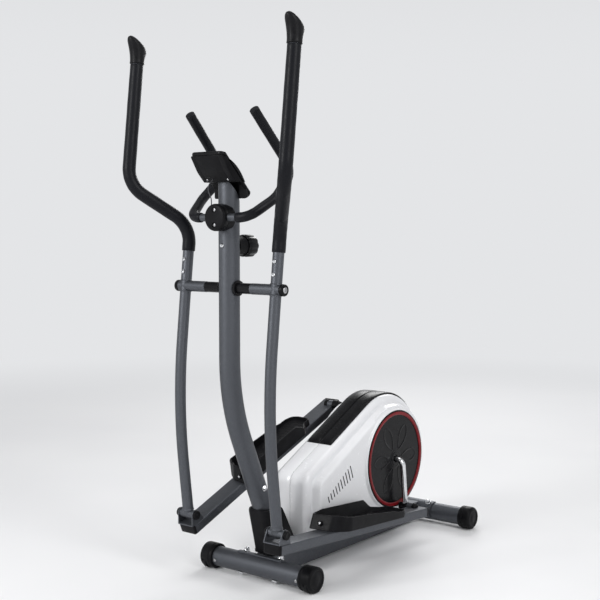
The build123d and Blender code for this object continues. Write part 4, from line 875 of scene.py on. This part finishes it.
def pedal_set(hand, side):
    """A pedal on its arm, with the arm's plugs, bracket, bush and caps."""
    rear_y = CRANK_Y + side * CRANK_R * sin(CRANK_ANGLE)
    rear_z = CRANK_Z - side * CRANK_R * cos(CRANK_ANGLE)
    tilt = atan2(rear_z - PIN_Z, rear_y - PIN_Y) + ARM_DIP
    body = f"pedal_{hand}"
    x = side * ARM_X

    def at(px, u, w):
        return Vector((px, PIN_Y + u * cos(tilt) - w * sin(tilt), PIN_Z + u * sin(tilt) + w * cos(tilt)))

    def rim(px, u):
        high = height_on(INNER_RIM, u)
        blend = min(max((px - PEDAL_X0 - PEDAL_WALL) / 6.0, 0.0), 1.0)
        low = min(high, height_on(OUTER_RIM, u))
        return high + (low - high) * blend

    # Tray: outer skin, rounded rim, inner wall, floor
    wall = PEDAL_WALL
    levels = [(False, 0.0, 1.4), (False, 1.4, 0.0), (True, -2.4, 0.0), (True, -0.9, 0.35), (True, -0.1, 1.6),
              (True, -0.1, wall - 1.6), (True, -0.9, wall - 0.35), (True, -2.4, wall),
              (False, PEDAL_FLOOR + 2.2, wall), (False, PEDAL_FLOOR + 0.6, wall + 0.7),
              (False, PEDAL_FLOOR, wall + 2.4)]
    base_line = pedal_line(0)
    bm = bmesh.new()
    rings = []
    for from_rim, offset, inset in levels:
        line = pedal_line(inset)
        ring = []
        for (px, u), (bx, bu) in zip(line, base_line):
            h = offset + (rim(bx, bu) if from_rim else 0)
            lean = 16.0 * min(max((272 - bu) / 40, 0), 1) * max(h, 0) / 45
            ring.append(at(side * px, u + lean, ARM_TOP + h))
        rings.append(ring)
    skin(bm, rings, cap_start=True, cap_end=True)
    # Tread: rows of short bars that lean to both sides in turn
    for row in range(TREAD_ROWS):
        u = 240 + TREAD_PITCH * row
        inner = (PEDAL_X0 if u < PEDAL_STEP_U - 20 else PEDAL_HEEL_X) + PEDAL_WALL + 7
        outer = PEDAL_X1 - PEDAL_WALL - 7 - max(0, 282 - u) * 0.5 - max(0, u - 550) * 0.5
        count = max(2, int((outer - inner) / 17))
        for k in range(count):
            middle = inner + (outer - inner) * (k + 0.5) / count
            lean = 0.35 if (row + k) % 2 else -0.35
            along = Vector((cos(lean), sin(lean)))
            over = Vector((-sin(lean), cos(lean)))
            half_l, half_w = (outer - inner) / count * 0.40, 2.3
            bar = []
            for eased, high in ((0, -0.2), (0.8, 0.9)):
                spots = [Vector((middle, u)) + along * (a * (half_l - eased)) + over * (b * (half_w - eased))
                         for a, b in CORNERS]
                bar.append([at(side * spot.x, spot.y, ARM_TOP + PEDAL_FLOOR + high) for spot in spots])
            skin(bm, bar, cap_end=True)
    # Screw boss in the front wall
    front_u = PEDAL_U0 + 1.6
    screw_seat = at(side * PEDAL_SCREW_X, front_u + 5, ARM_TOP + 20)
    outward = (at(0, -1, 0) - at(0, 0, 0)) * 0.98 + (at(0, 0, 1) - at(0, 0, 0)) * 0.2
    lathe(bm, [(-3, 7.5), (0.4, 7.5), (1.0, 6.9), (1.0, 5.2), (0.2, 4.9), (0.2, 0.1)],
          screw_seat, outward, sides=36)
    piece(f"pedal_tray_{hand}", bm, BLACK, body, [f"foot_pedal_{hand}"], sharp=42)
    bm = bmesh.new()
    dome(bm, screw_seat + outward * 0.1, outward, 4.6, 1.8)
    piece(f"pedal_screw_{hand}", bm, STEEL, body, sharp=35)

    # Arm: rectangular tube with its plugs, U-bracket and bush
    u1 = REAR_PIN_U + 24.0
    mid_w = ARM_TOP - TUBE_H / 2
    section = box_ring(TUBE_W / 2, TUBE_H / 2, 4.5)
    bm = bmesh.new()
    skin(bm, [[at(x + a, u, mid_w + b) for a, b in section] for u in (-13.9, 120, 330, 520, u1 - 0.1)],
         cap_start=True, cap_end=True)
    piece(f"arm_tube_{hand}", bm, PAINT, body, [f"pedal_arm_{hand}"], sharp=35)

    bm = bmesh.new()
    for end, way, length in ((-14.0, -1, 8.0), (u1, 1, 12.0)):
        rings = []
        for go, inset in ((0.0, 0.9), (0.4, 0.4), (length - 4, 0.4), (length - 1.6, 1.2), (length - 0.4, 3.0),
                          (length, 5.5)):
            ring = box_ring(TUBE_W / 2 - inset, TUBE_H / 2 - inset, 4.5)
            rings.append([at(x + a, end + way * go, mid_w + b) for a, b in ring])
        skin(bm, rings, cap_start=True, cap_end=True)
    piece(f"arm_end_plugs_{hand}", bm, BLACK, body, [f"arm_plugs_{hand}"], sharp=40)

    bm = bmesh.new()
    for ear in (-1, 1):
        outline = [(-25, ARM_TOP + 0.2), (-25, ARM_TOP + 3)]
        outline += [(15 * cos(t), 15 * sin(t)) for t in (radians(168 - 12 * k) for k in range(14))]
        outline += [(15 * cos(radians(12)), 15 * sin(radians(12))), (25, ARM_TOP + 3), (25, ARM_TOP + 0.2)]
        ear_x = x + ear * (CLEVIS_HALF - CLEVIS_T)
        slab(bm, [at(ear_x, u, w) for u, w in outline], Vector((ear * CLEVIS_T, 0, 0)))
    base = [(-25, ARM_TOP), (25, ARM_TOP), (25, ARM_TOP + CLEVIS_T), (-25, ARM_TOP + CLEVIS_T)]
    slab(bm, [at(x - CLEVIS_HALF + 0.2, u, w) for u, w in base], Vector((2 * CLEVIS_HALF - 0.4, 0, 0)))
    piece(f"pin_bracket_{hand}", bm, PAINT, body, sharp=40, ease=0.9)

    bm = bmesh.new()
    rear = at(0, REAR_PIN_U, REAR_PIN_W)
    lathe(bm, [(BUSH_X0, 7), (BUSH_X0, 12.2), (BUSH_X0 + 0.8, 13), (BUSH_X1 - 0.8, 13), (BUSH_X1, 12.2),
               (BUSH_X1, 7)], (0, rear.y, rear.z), (side, 0, 0), sides=56)
    # Weld between the bush and the tube
    for turn in range(-4, 5):
        spot = rear + Vector((side * (BUSH_X0 + 4), 0, 0))
        direction = at(0, sin(turn * 0.28), -cos(turn * 0.28)) - at(0, 0, 0)
        dome(bm, spot + direction * 12.0, (side * 0.2, direction.y, direction.z), 3.2, 1.6, sides=16)
    piece(f"rear_bush_{hand}", bm, PAINT, body, sharp=40)

    bm = bmesh.new()
    for ear in (-1, 1):
        lathe(bm, shift(CLEVIS_HALF, 0, ((0.1, 12.6), (0.9, 13.5), (5.5, 13.5), (7.4, 12.6), (8.6, 10.6),
                                         (9, 8.4), (8.6, 7.6), (8.6, 0.1))),
              (x, PIN_Y, PIN_Z), (ear, 0, 0), sides=56)
    piece(f"bolt_caps_{hand}", bm, BLACK, body, [f"clevis_bolt_{hand}"], sharp=35)

    bm = bmesh.new()
    lathe(bm, shift(BUSH_X1, 0, ((0.1, 13.8), (1, 14.7), (9, 14.7), (12, 13.4), (13.6, 10.8), (14, 8),
                                 (13.5, 7.2), (13.5, 0.1))), (0, rear.y, rear.z), (side, 0, 0), sides=56)
    piece(f"pin_cap_{hand}", bm, BLACK, body, [f"crank_pin_{hand}"], sharp=35)


# ------------------------------------------------------------------ feet
def foot_caps():
    """End caps of both feet and the transport wheels."""
    bm = bmesh.new()
    for side in (-1, 1):
        outer, inner = FRONT_FOOT_HALF, FRONT_FOOT_HALF - CAP_LENGTH
        profile = shift(inner, FOOT_Z, ((0, FOOT_R + 0.3 - FOOT_Z), (0, -2.6), (0.7, -1.2), (2.2, -0.4),
                                        (9, -0.1), (10, -1.4), (11.5, -1.4), (12.5, -0.1)))
        profile += shift(outer, FOOT_Z, ((-5, -0.1), (-2.2, -1.0), (-0.6, -3.0), (0, -5.5), (0, -9),
                                         (-1.6, -10.2)))
        profile += shift(outer, 0, ((-1.6, 14), (-0.8, 12.5), (-0.8, 0.1)))
        lathe(bm, profile, (0, FRONT_Y, FOOT_Z), (side, 0, 0), sides=96)
    caps = piece("front_foot_caps", bm, BLACK, "frame", ["front_end_caps"], sharp=32)
    slot = FRONT_FOOT_HALF - 16.5
    bore(caps, [lambda cut, s=side: lathe(cut, [(slot - 7, 23.5), (slot + 7, 23.5)],
                                          (0, FRONT_Y - 15, 24), (s, 0, 0), sides=56) for side in (-1, 1)])
    bm = bmesh.new()
    for side in (-1, 1):
        base = [(2, 0.1), (18, 0.1), (18, 9), (2, 9)]
        slab(bm, [Vector((side * (FRONT_FOOT_HALF - CAP_LENGTH + 2), FRONT_Y + y, z)) for y, z in base],
             Vector((side * (CAP_LENGTH - 6), 0, 0)))
    piece("front_foot_pads", bm, RUBBER, "frame", sharp=40, ease=1.2)

    for hand, side in SIDES:
        bm = bmesh.new()
        half = [(-6, 6), (-6, 12), (-4.8, 13), (-4.8, 17), (-6, 18), (-6, 20.4), (-5, 21.6), (-3.6, 22)]
        lathe(bm, shift(slot, 0, half + [(-a, r) for a, r in reversed(half)]), (0, FRONT_Y - 14, 24),
              (side, 0, 0))
        piece(f"wheel_tyre_{hand}", bm, RUBBER, f"wheel_{hand}", [f"transport_wheel_{hand}"], sharp=32)

        bm = bmesh.new()
        outer, inner = REAR_FOOT_HALF, REAR_FOOT_HALF - CAP_LENGTH
        profile = shift(inner, FOOT_Z, ((0, FOOT_R + 0.3 - FOOT_Z), (0, -4), (1, -1.6), (3.4, -0.2), (13, 0),
                                        (14, -1.3), (16, -1.3), (17, 0)))
        profile += shift(outer, FOOT_Z, ((-9, 0), (-4.6, -1.4), (-1.6, -4.4), (0, -8.6), (0, -12),
                                         (-1.8, -13.4)))
        profile += shift(outer, 0, ((-1.8, 12), (-1, 10.6), (-1, 0.1)))
        lathe(bm, profile, (0, REAR_Y, FOOT_Z), (side, 0, 0), sides=96)
        piece(f"rear_foot_cap_{hand}", bm, BLACK, f"leveller_{hand}", [f"levelling_cap_{hand}"], sharp=32)


FOOT_BOLT_X, CLAMP_SCREW_Z, LID_NORMAL = 66.0, (BAR_Z - 21, BAR_Z + 21), Vector((0, -0.73, -0.684))


def fasteners():
    """Bolts of the feet and of the post, and the small screws."""
    bm = bmesh.new()
    lean = radians(25.0)
    for foot_y, turn in ((FRONT_Y, 1), (REAR_Y, -1)):
        axis = Vector((0, turn * sin(lean), cos(lean)))
        for x in (-FOOT_BOLT_X, FOOT_BOLT_X):
            centre = Vector((x, foot_y, FOOT_Z))
            dome(bm, centre - axis * (FOOT_R + 0.6), -axis, 10.0, 5.6)
            lathe(bm, shift(FOOT_R, 0, ((4.1, 8), (4.1, 10.5), (5.6, 10.5), (5.9, 9.9))), centre, axis,
                  sides=40)
            hex_head(bm, centre + axis * (FOOT_R + 5.8), axis, 8.6, 7.0)
            dome(bm, centre + axis * (FOOT_R + 12.2), axis, 6.4, 5.4)
    piece("foot_bolts", bm, CHROME, "frame", ["stabiliser_bolts"], sharp=30)

    bm = bmesh.new()
    for side in (-1, 1):
        centre = Vector((side * (POST_R + 0.1), post_centre(POST_BOLT_Z), POST_BOLT_Z))
        lathe(bm, [(-2, 8), (-2, 9), (1.4, 9), (1.8, 8.4)], centre, (side, 0, 0), sides=40)
        hex_head(bm, centre + Vector((side * 1.6, 0, 0)), (side, 0, 0), 7.2, 4.6)
        dome(bm, centre + Vector((side * 5.6, 0, 0)), (side, 0, 0), 4.8, 1.4)
    socket_head(bm, (0, POST_Y - POST_R + 0.2, KNOB_Z + 2), (0, -1, 0), 6.4, 4.6)
    piece("post_bolt_heads", bm, CHROME, "frame", ["post_bolts"], sharp=30)

    bm = bmesh.new()
    for z in CLAMP_SCREW_Z:
        socket_head(bm, (0, BAR_Y - 18.6, z), (0, -1, 0), 5.6, 2.6)
    for side in (-1, 1):
        turn = radians(100)
        axis = Vector((0, -sin(turn), cos(turn)))
        seat = Vector((side * (FRONT_FOOT_HALF - CAP_LENGTH - 9), FRONT_Y, FOOT_Z))
        socket_head(bm, seat + axis * (FOOT_R + 0.1), axis, 5.2, 2.4)
        socket_head(bm, (side * 38.0, POST_Y - 46.6, 1174.0), LID_NORMAL, 3.6, 2.0)
    piece("small_screws", bm, STEEL, "frame", ["frame_screws"], sharp=30)

    for hand, side in SIDES:
        bm = bmesh.new()
        for z in (PIVOT_Z + 42, PIVOT_Z + 78):
            socket_head(bm, (side * ARM_X, handle_y(z) - ARM_R - 0.6, z), (0, -1, 0), 6.0, 3.6)
        piece(f"handle_bolts_{hand}", bm, CHROME, f"swing_{hand}", [f"handle_screws_{hand}"], sharp=30)

    bm = bmesh.new()
    for side in (-1, 1):
        lathe(bm, shift(HUB_OUT + 0.4, 0, ((0, HUB_R + 0.2), (0.8, HUB_R + 1), (8.6, HUB_R + 1), (10.8, HUB_R),
                                           (12, HUB_R - 2.4), (12, 9.6), (11.2, 8.8), (11.2, 0.1))),
              (0, POST_Y, PIVOT_Z), (side, 0, 0), sides=64)
    piece("axle_end_caps", bm, BLACK, "frame", ["axle_caps"], sharp=32)
    bm = bmesh.new()
    for side in (-1, 1):
        socket_head(bm, (side * (HUB_OUT + 11.4), POST_Y, PIVOT_Z), (side, 0, 0), 8.8, 2.6)
    piece("axle_end_bolts", bm, STEEL, "frame", sharp=30)

    bm = bmesh.new()
    for side in (-1, 1):
        lathe(bm, [(POST_R - 4, 15.2), (HUB_IN - 1.2, 15.2), (HUB_IN - 0.4, 14.4), (HUB_IN - 0.4, 9.5)],
              (0, POST_Y, PIVOT_Z), (side, 0, 0), sides=64)
        for k in range(20):
            turn = 2 * pi * k / 20
            spot = Vector((side * (POST_R + 1.6), POST_Y + 15.6 * cos(turn), PIVOT_Z + 15.6 * sin(turn)))
            dome(bm, spot, (side * 0.7, cos(turn), sin(turn)), 3.4, 1.7, sides=14)
    lathe(bm, shift(POST_R, 0, ((0.3, 20), (0.3, 21.2), (1.1, 22), (6.2, 22), (7, 21.2), (7, 15))),
          (0, POST_Y, PIVOT_Z), (1, 0, 0), sides=64)
    piece("axle_sleeves", bm, SATIN, "frame", ["axle_spacers"], sharp=35)


COVER_Z0, COVER_Z1 = 75.0, 214.0


def post_foot_cover():
    """Moulded cover round the foot of the post, on a thin flange."""
    bm = bmesh.new()
    rings = []
    z0, z1 = COVER_Z0, COVER_Z1
    for z, inset in ((z0, 0.0), (z0 + 5, 0.0), (z0 + 6, 1.6), (z0 + 40, 1.8), (z1 - 30, 1.8), (z1 - 9, 2.0),
                     (z1 - 3.4, 3.0), (z1 - 1, 5.0), (z1, 8.0), (z1, 10.5)):
        t = (z - z0) / (z1 - z0)
        front = FRONT_Y + 8 - 35 * t + inset
        rear = FRONT_Y + 136 - 78 * t - inset
        half = 42 - inset
        corners = [(-half, rear), (-half, front + 17), (-half + 15, front), (half - 15, front),
                   (half, front + 17), (half, rear)]
        rings.append([Vector((point.x, point.y, z)) for point in rounded(corners, 7, 6)])
    skin(bm, rings, cap_start=True, cap_end=True)
    top = post_centre(z1)
    slope = Vector((0, -POST_SLOPE, 1)).normalized()
    lathe(bm, shift(0, POST_R, ((-4, 6), (2.0, 6), (3.6, 4.6), (4.2, 2.4), (3.8, 0.4), (-4, 0.4))),
          (0, top, z1), slope, sides=64)
    for side in (-1, 1):
        socket_head(bm, (side * 40.2, FRONT_Y + 62, z0 + 66), (side, 0, 0), 5.0, 2.2)
    piece("post_foot_cover", bm, BLACK, "frame", ["base_cover"], sharp=35)


# ------------------------------------------------------------------ fixed handlebar and knob
KNOB_SIDES = 216
BAR_POINTS = ((108.0, BAR_Y, BAR_Z), (138, BAR_Y + 80, BAR_Z + 54), (128, BAR_Y + 166, BAR_Z + 130),
              (119.6, BAR_Y + 12, BAR_Z + 290))


def fixed_bar():
    """Fixed handlebar with its grips, clamp and the knob below it."""
    bm = bmesh.new()
    right = [(-a, b, c) for a, b, c in reversed(BAR_POINTS)]
    rod(bm, fillet_path([*right, *BAR_POINTS], (40, 80, 45, 45, 80, 40), 14), BAR_R, sides=36)
    piece("fixed_bar_tube", bm, PAINT, "frame", ["handlebar"])

    bm = bmesh.new()
    for side in (1, -1):
        points = [(side * a, b, c) for a, b, c in BAR_POINTS]
        path = fillet_path([(side * 66, BAR_Y, BAR_Z), *points], (45, 80, 40), 20)
        foam_sleeve(bm, path, GRIP_R, BAR_R)
        along = (path[-1] - path[-2]).normalized()
        lathe(bm, shift(0, GRIP_R, ((-2, -1), (0.2, -0.4), (1.6, -0.2), (2.6, -1.2), (3, -3.4),
                                    (3, 0.1 - GRIP_R))), path[-1], along, sides=44)
    grips = piece("fixed_bar_grips", bm, FOAM, "frame", ["handlebar_grips"])

    split = BAR_Y - 0.2
    clamp_r = 38.0
    bm = bmesh.new()
    lathe(bm, [(0.0, clamp_r - 0.8), (0.8, clamp_r), (26.4, clamp_r), (27.4, clamp_r - 0.8)],
          (0, split + 0.4, BAR_Z), (0, 1, 0), sides=96)
    piece("clamp_rear_half", bm, BLACK, "frame", ["clamp_saddle"], sharp=32)
    bm = bmesh.new()
    lathe(bm, [*shift(0, clamp_r, ((0.0, -0.8), (0.8, 0), (14.8, 0), (17.8, -0.7), (20.2, -2.6), (21.4, -5),
                                   (22.0, -8))), (22.4, 20), (22.6, 8), (22.6, 0.1)],
          (0, split, BAR_Z), (0, -1, 0), sides=96)
    cap = piece("clamp_front_half", bm, BLACK, "frame", ["clamp_cap"], sharp=32)
    bore(cap, [lambda cut, h=z: lathe(cut, [(0, 7), (6, 7)], (0, BAR_Y - 18.4, h), (0, -1, 0), sides=40)
               for z in CLAMP_SCREW_Z]
         + [lambda cut: lathe(cut, [(-60, BAR_R + 0.1), (60, BAR_R + 0.1)], (0, BAR_Y, BAR_Z), (1, 0, 0),
                              sides=40)])

    bm = bmesh.new()
    y0, y1 = KNOB_Y0, KNOB_Y0 + 40
    rings = []
    for y, grow in (*shift(y0, 0, ((0, -3.0), (0.8, -2.0), (6, -1.6), (8, -0.2), (10, 0.0))),
                    *shift(y1, 0, ((-6, 0.0), (-2.6, -0.9), (-0.8, -2.6), (0, -5.2)))):
        ring = []
        for k in range(KNOB_SIDES):
            turn = 2 * pi * k / KNOB_SIDES
            scallop = 1.8 * (0.5 - 0.5 * cos(10 * turn)) ** 1.5
            r = KNOB_R - scallop + grow
            ring.append(Vector((r * cos(turn), y, KNOB_Z + r * sin(turn))))
        rings.append(ring)
    for y, r in ((y1, KNOB_R - 8.5), (y1 - 1.2, KNOB_R - 9.4), (y1 - 1.2, 9.5), (y1 - 0.4, 8.6),
                 (y1 - 0.4, 0.4)):
        rings.append([Vector((r * cos(turn), y, KNOB_Z + r * sin(turn)))
                      for turn in (2 * pi * k / KNOB_SIDES for k in range(KNOB_SIDES))])
    skin(bm, rings, cap_start=True, cap_end=True)
    piece("resistance_knob", bm, SATIN, "knob", ["tension_knob"], sharp=35)
    bm = bmesh.new()
    lathe(bm, [(-10, 26), (16, 26.2), (18, 27), (22.6, 27), (23.4, 26)], (0, POST_Y + POST_R, KNOB_Z),
          (0, 1, 0), sides=72)
    piece("knob_collar", bm, BLACK, "frame", ["knob_base"], sharp=32)


# ------------------------------------------------------------------ console
FACE_Y, FACE_Z, FACE_R = POST_Y - 114.6, 1108.9, 142.7
BEZEL_T, FACE_LOW, FACE_HIGH = 10.2, radians(7.3), radians(81.3)
SCREEN_ANGLE, BUTTON_ANGLE = radians(60), radians(29)


def on_face(x, s, depth):
    """A point of the curved face: s is the distance along it from its middle."""
    turn = (FACE_LOW + FACE_HIGH) / 2 + s / FACE_R
    return Vector((x, FACE_Y + (FACE_R - depth) * cos(turn), FACE_Z + (FACE_R - depth) * sin(turn)))


def on_screen(x, v, high):
    """A point above the screen's flat window: v is up its slope, high its height over the face's curve."""
    c, s = cos(SCREEN_ANGLE), sin(SCREEN_ANGLE)
    return Vector((x, FACE_Y + (FACE_R + high) * c - v * s, FACE_Z + (FACE_R + high) * s + v * c))


def console():
    """Curved face, hood with its battery lid, window and key."""
    half_s = FACE_R * (FACE_HIGH - FACE_LOW) / 2
    bm = bmesh.new()
    rings = []
    for depth, inset in ((BEZEL_T - 0.1, 9.0), (BEZEL_T, 2.6), (BEZEL_T - 0.8, 0.9), (BEZEL_T - 2.6, 0.0),
                         (3.4, 0.0), (1.3, 0.7), (0.25, 2.2), (0.0, 4.5)):
        rings.append([on_face(u, v, depth) for u, v
                      in box_ring(CONSOLE_HALF - inset, half_s - inset, 15 - inset * 0.6, 8)])
    for scale in (0.86, 0.7, 0.5, 0.3, 0.12, 0.02):
        rings.append([on_face(u * scale, v * scale, 0.0)
                      for u, v in box_ring(CONSOLE_HALF - 4.5, half_s - 4.5, 12.3, 8)])
    back = [[on_face(u * scale, v * scale, BEZEL_T)
             for u, v in box_ring(CONSOLE_HALF - 9, half_s - 9, 9.6, 8)] for scale in (0.02, 0.3, 0.6, 0.85)]
    skin(bm, back + rings, cap_start=True, cap_end=True)
    bezel = piece("console_bezel", bm, SATIN, "frame", ["console_front"], sharp=40)

    def window(cut):
        slab(cut, [on_screen(u, v, -4.9) for u, v in box_ring(38, 22, 3)],
             on_screen(0, 0, 12) - on_screen(0, 0, 0))

    def button_well(cut):
        normal = Vector((0, cos(BUTTON_ANGLE), sin(BUTTON_ANGLE)))
        lathe(cut, [(FACE_R - 8, 9.3), (FACE_R + 6, 9.3)], (0, FACE_Y, FACE_Z), normal, sides=48)

    bore(bezel, [window, button_well])

    # Back: a moulded hood behind the face
    side_line = [(POST_Y - 23, 1115), (POST_Y - 38, 1165), (POST_Y - 68, 1197)]
    arc = [(FACE_Y + (FACE_R - BEZEL_T) * cos(t), FACE_Z + (FACE_R - BEZEL_T) * sin(t))
           for t in (FACE_HIGH + (FACE_LOW - FACE_HIGH) * k / 14 for k in range(15))]
    outline = rounded(arc + side_line, 7, 4)
    centre = Vector((POST_Y - 28, 1170))
    bm = bmesh.new()
    rings = []
    levels = [(-60, 6.0), (-59.2, 2.6), (-57, 0.7), (-54, 0.0), (-44, 0.0), (-43, 1.0), (-41.5, 1.0),
              (-40.5, 0.0)]
    levels += [(-x, inset) for x, inset in reversed(levels)]
    for x, inset in levels:
        rings.append([Vector((x, *(point + (centre - point).normalized() * inset))) for point in outline])
    skin(bm, rings, cap_start=True, cap_end=True)
    # Battery lid on the sloping back
    lid_up = Vector((0, -0.684, 0.73))
    lid_middle = Vector((0, POST_Y - 53, 1181))
    ring = [lid_middle + Vector((u, 0, 0)) + lid_up * v - LID_NORMAL for u, v in box_ring(27, 16, 3)]
    slab(bm, ring, LID_NORMAL * 2.0)
    hood = piece("console_hood", bm, BLACK, "frame", ["console_back"], sharp=40)

    def post_room(cut):
        lathe(cut, [(0, POST_R + 0.4), (118, POST_R + 0.4)], (0, POST_Y, POST_TOP - 118), (0, 0, 1), sides=64)

    def front_room(cut):
        corners = [Vector((x, y, 1096)) for x, y in ((-62, POST_Y - 100), (62, POST_Y - 100),
                                                     (62, POST_Y + 6), (-62, POST_Y + 6))]
        slab(cut, corners, Vector((0, 0, POST_TOP - 10 - 1096)))

    bore(hood, [post_room])
    bore(hood, [front_room])

    bm = bmesh.new()
    rings = [[on_screen(u, v, h - 4.4) for u, v in box_ring(a, b, 2.8)]
             for a, b, h in ((37.6, 21.6, -0.5), (37.6, 21.6, 1.0), (37.0, 21.0, 1.5), (34, 18, 1.5),
                             (33.6, 17.6, 0.9))]
    skin(bm, rings, cap_start=True, cap_end=True)
    piece("display_window", bm, GLASS, "frame", ["console_screen"], sharp=35)

    bm = bmesh.new()
    lathe(bm, shift(FACE_R, 0, ((-6.2, 9), (0.4, 9), (1.4, 8.3), (1.8, 6.8), (1.3, 3.5), (1.1, 0.1))),
          (0, FACE_Y, FACE_Z), (0, cos(BUTTON_ANGLE), sin(BUTTON_ANGLE)), sides=56)
    piece("mode_key", bm, GREY, "button", ["mode_button"], sharp=40)


def sensor_lead():
    """Short lead from the console down into the post, on the route's own points."""
    points = ((-17, POST_Y - 47.8, 1174.6), (-20, POST_Y - 55, 1167), (-25.5, POST_Y - 58, 1156),
              (-27, POST_Y - 56.5, 1143), (-22.5, POST_Y - 53.5, 1131), (-19.5, POST_Y - 50.5, 1118.5),
              (-22.5, POST_Y - 48.5, 1102.9))
    curve = bpy.data.curves.new("console_lead", "CURVE")
    curve.dimensions = "3D"
    line = curve.splines.new("NURBS")
    line.points.add(len(points) - 1)
    for knot, point in zip(line.points, points):
        knot.co = (*(value * MM for value in point), 1)
    line.order_u = 3
    line.use_endpoint_u = True
    curve.resolution_u = 12
    curve.bevel_depth = 1.5 * MM
    curve.bevel_resolution = 6
    curve.use_fill_caps = True
    curve.materials.append(LEAD)
    made = bpy.data.objects.new("console_lead", curve)
    bpy.context.scene.collection.objects.link(made)
    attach(made, "frame")
    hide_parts("sensor_lead")


# ------------------------------------------------------------------ build all
for each_hand, each_side in SIDES:
    housing_half(each_hand, each_side)
    disc_collar(each_hand, each_side)
    crank_disc(each_hand, each_side)
    swing_arm(each_hand, each_side)
housing_cover()
crank()
frame_tubes()
for each_hand, each_side in SIDES:
    pedal_set(each_hand, each_side)
foot_caps()
fasteners()
post_foot_cover()
fixed_bar()
console()
sensor_lead()
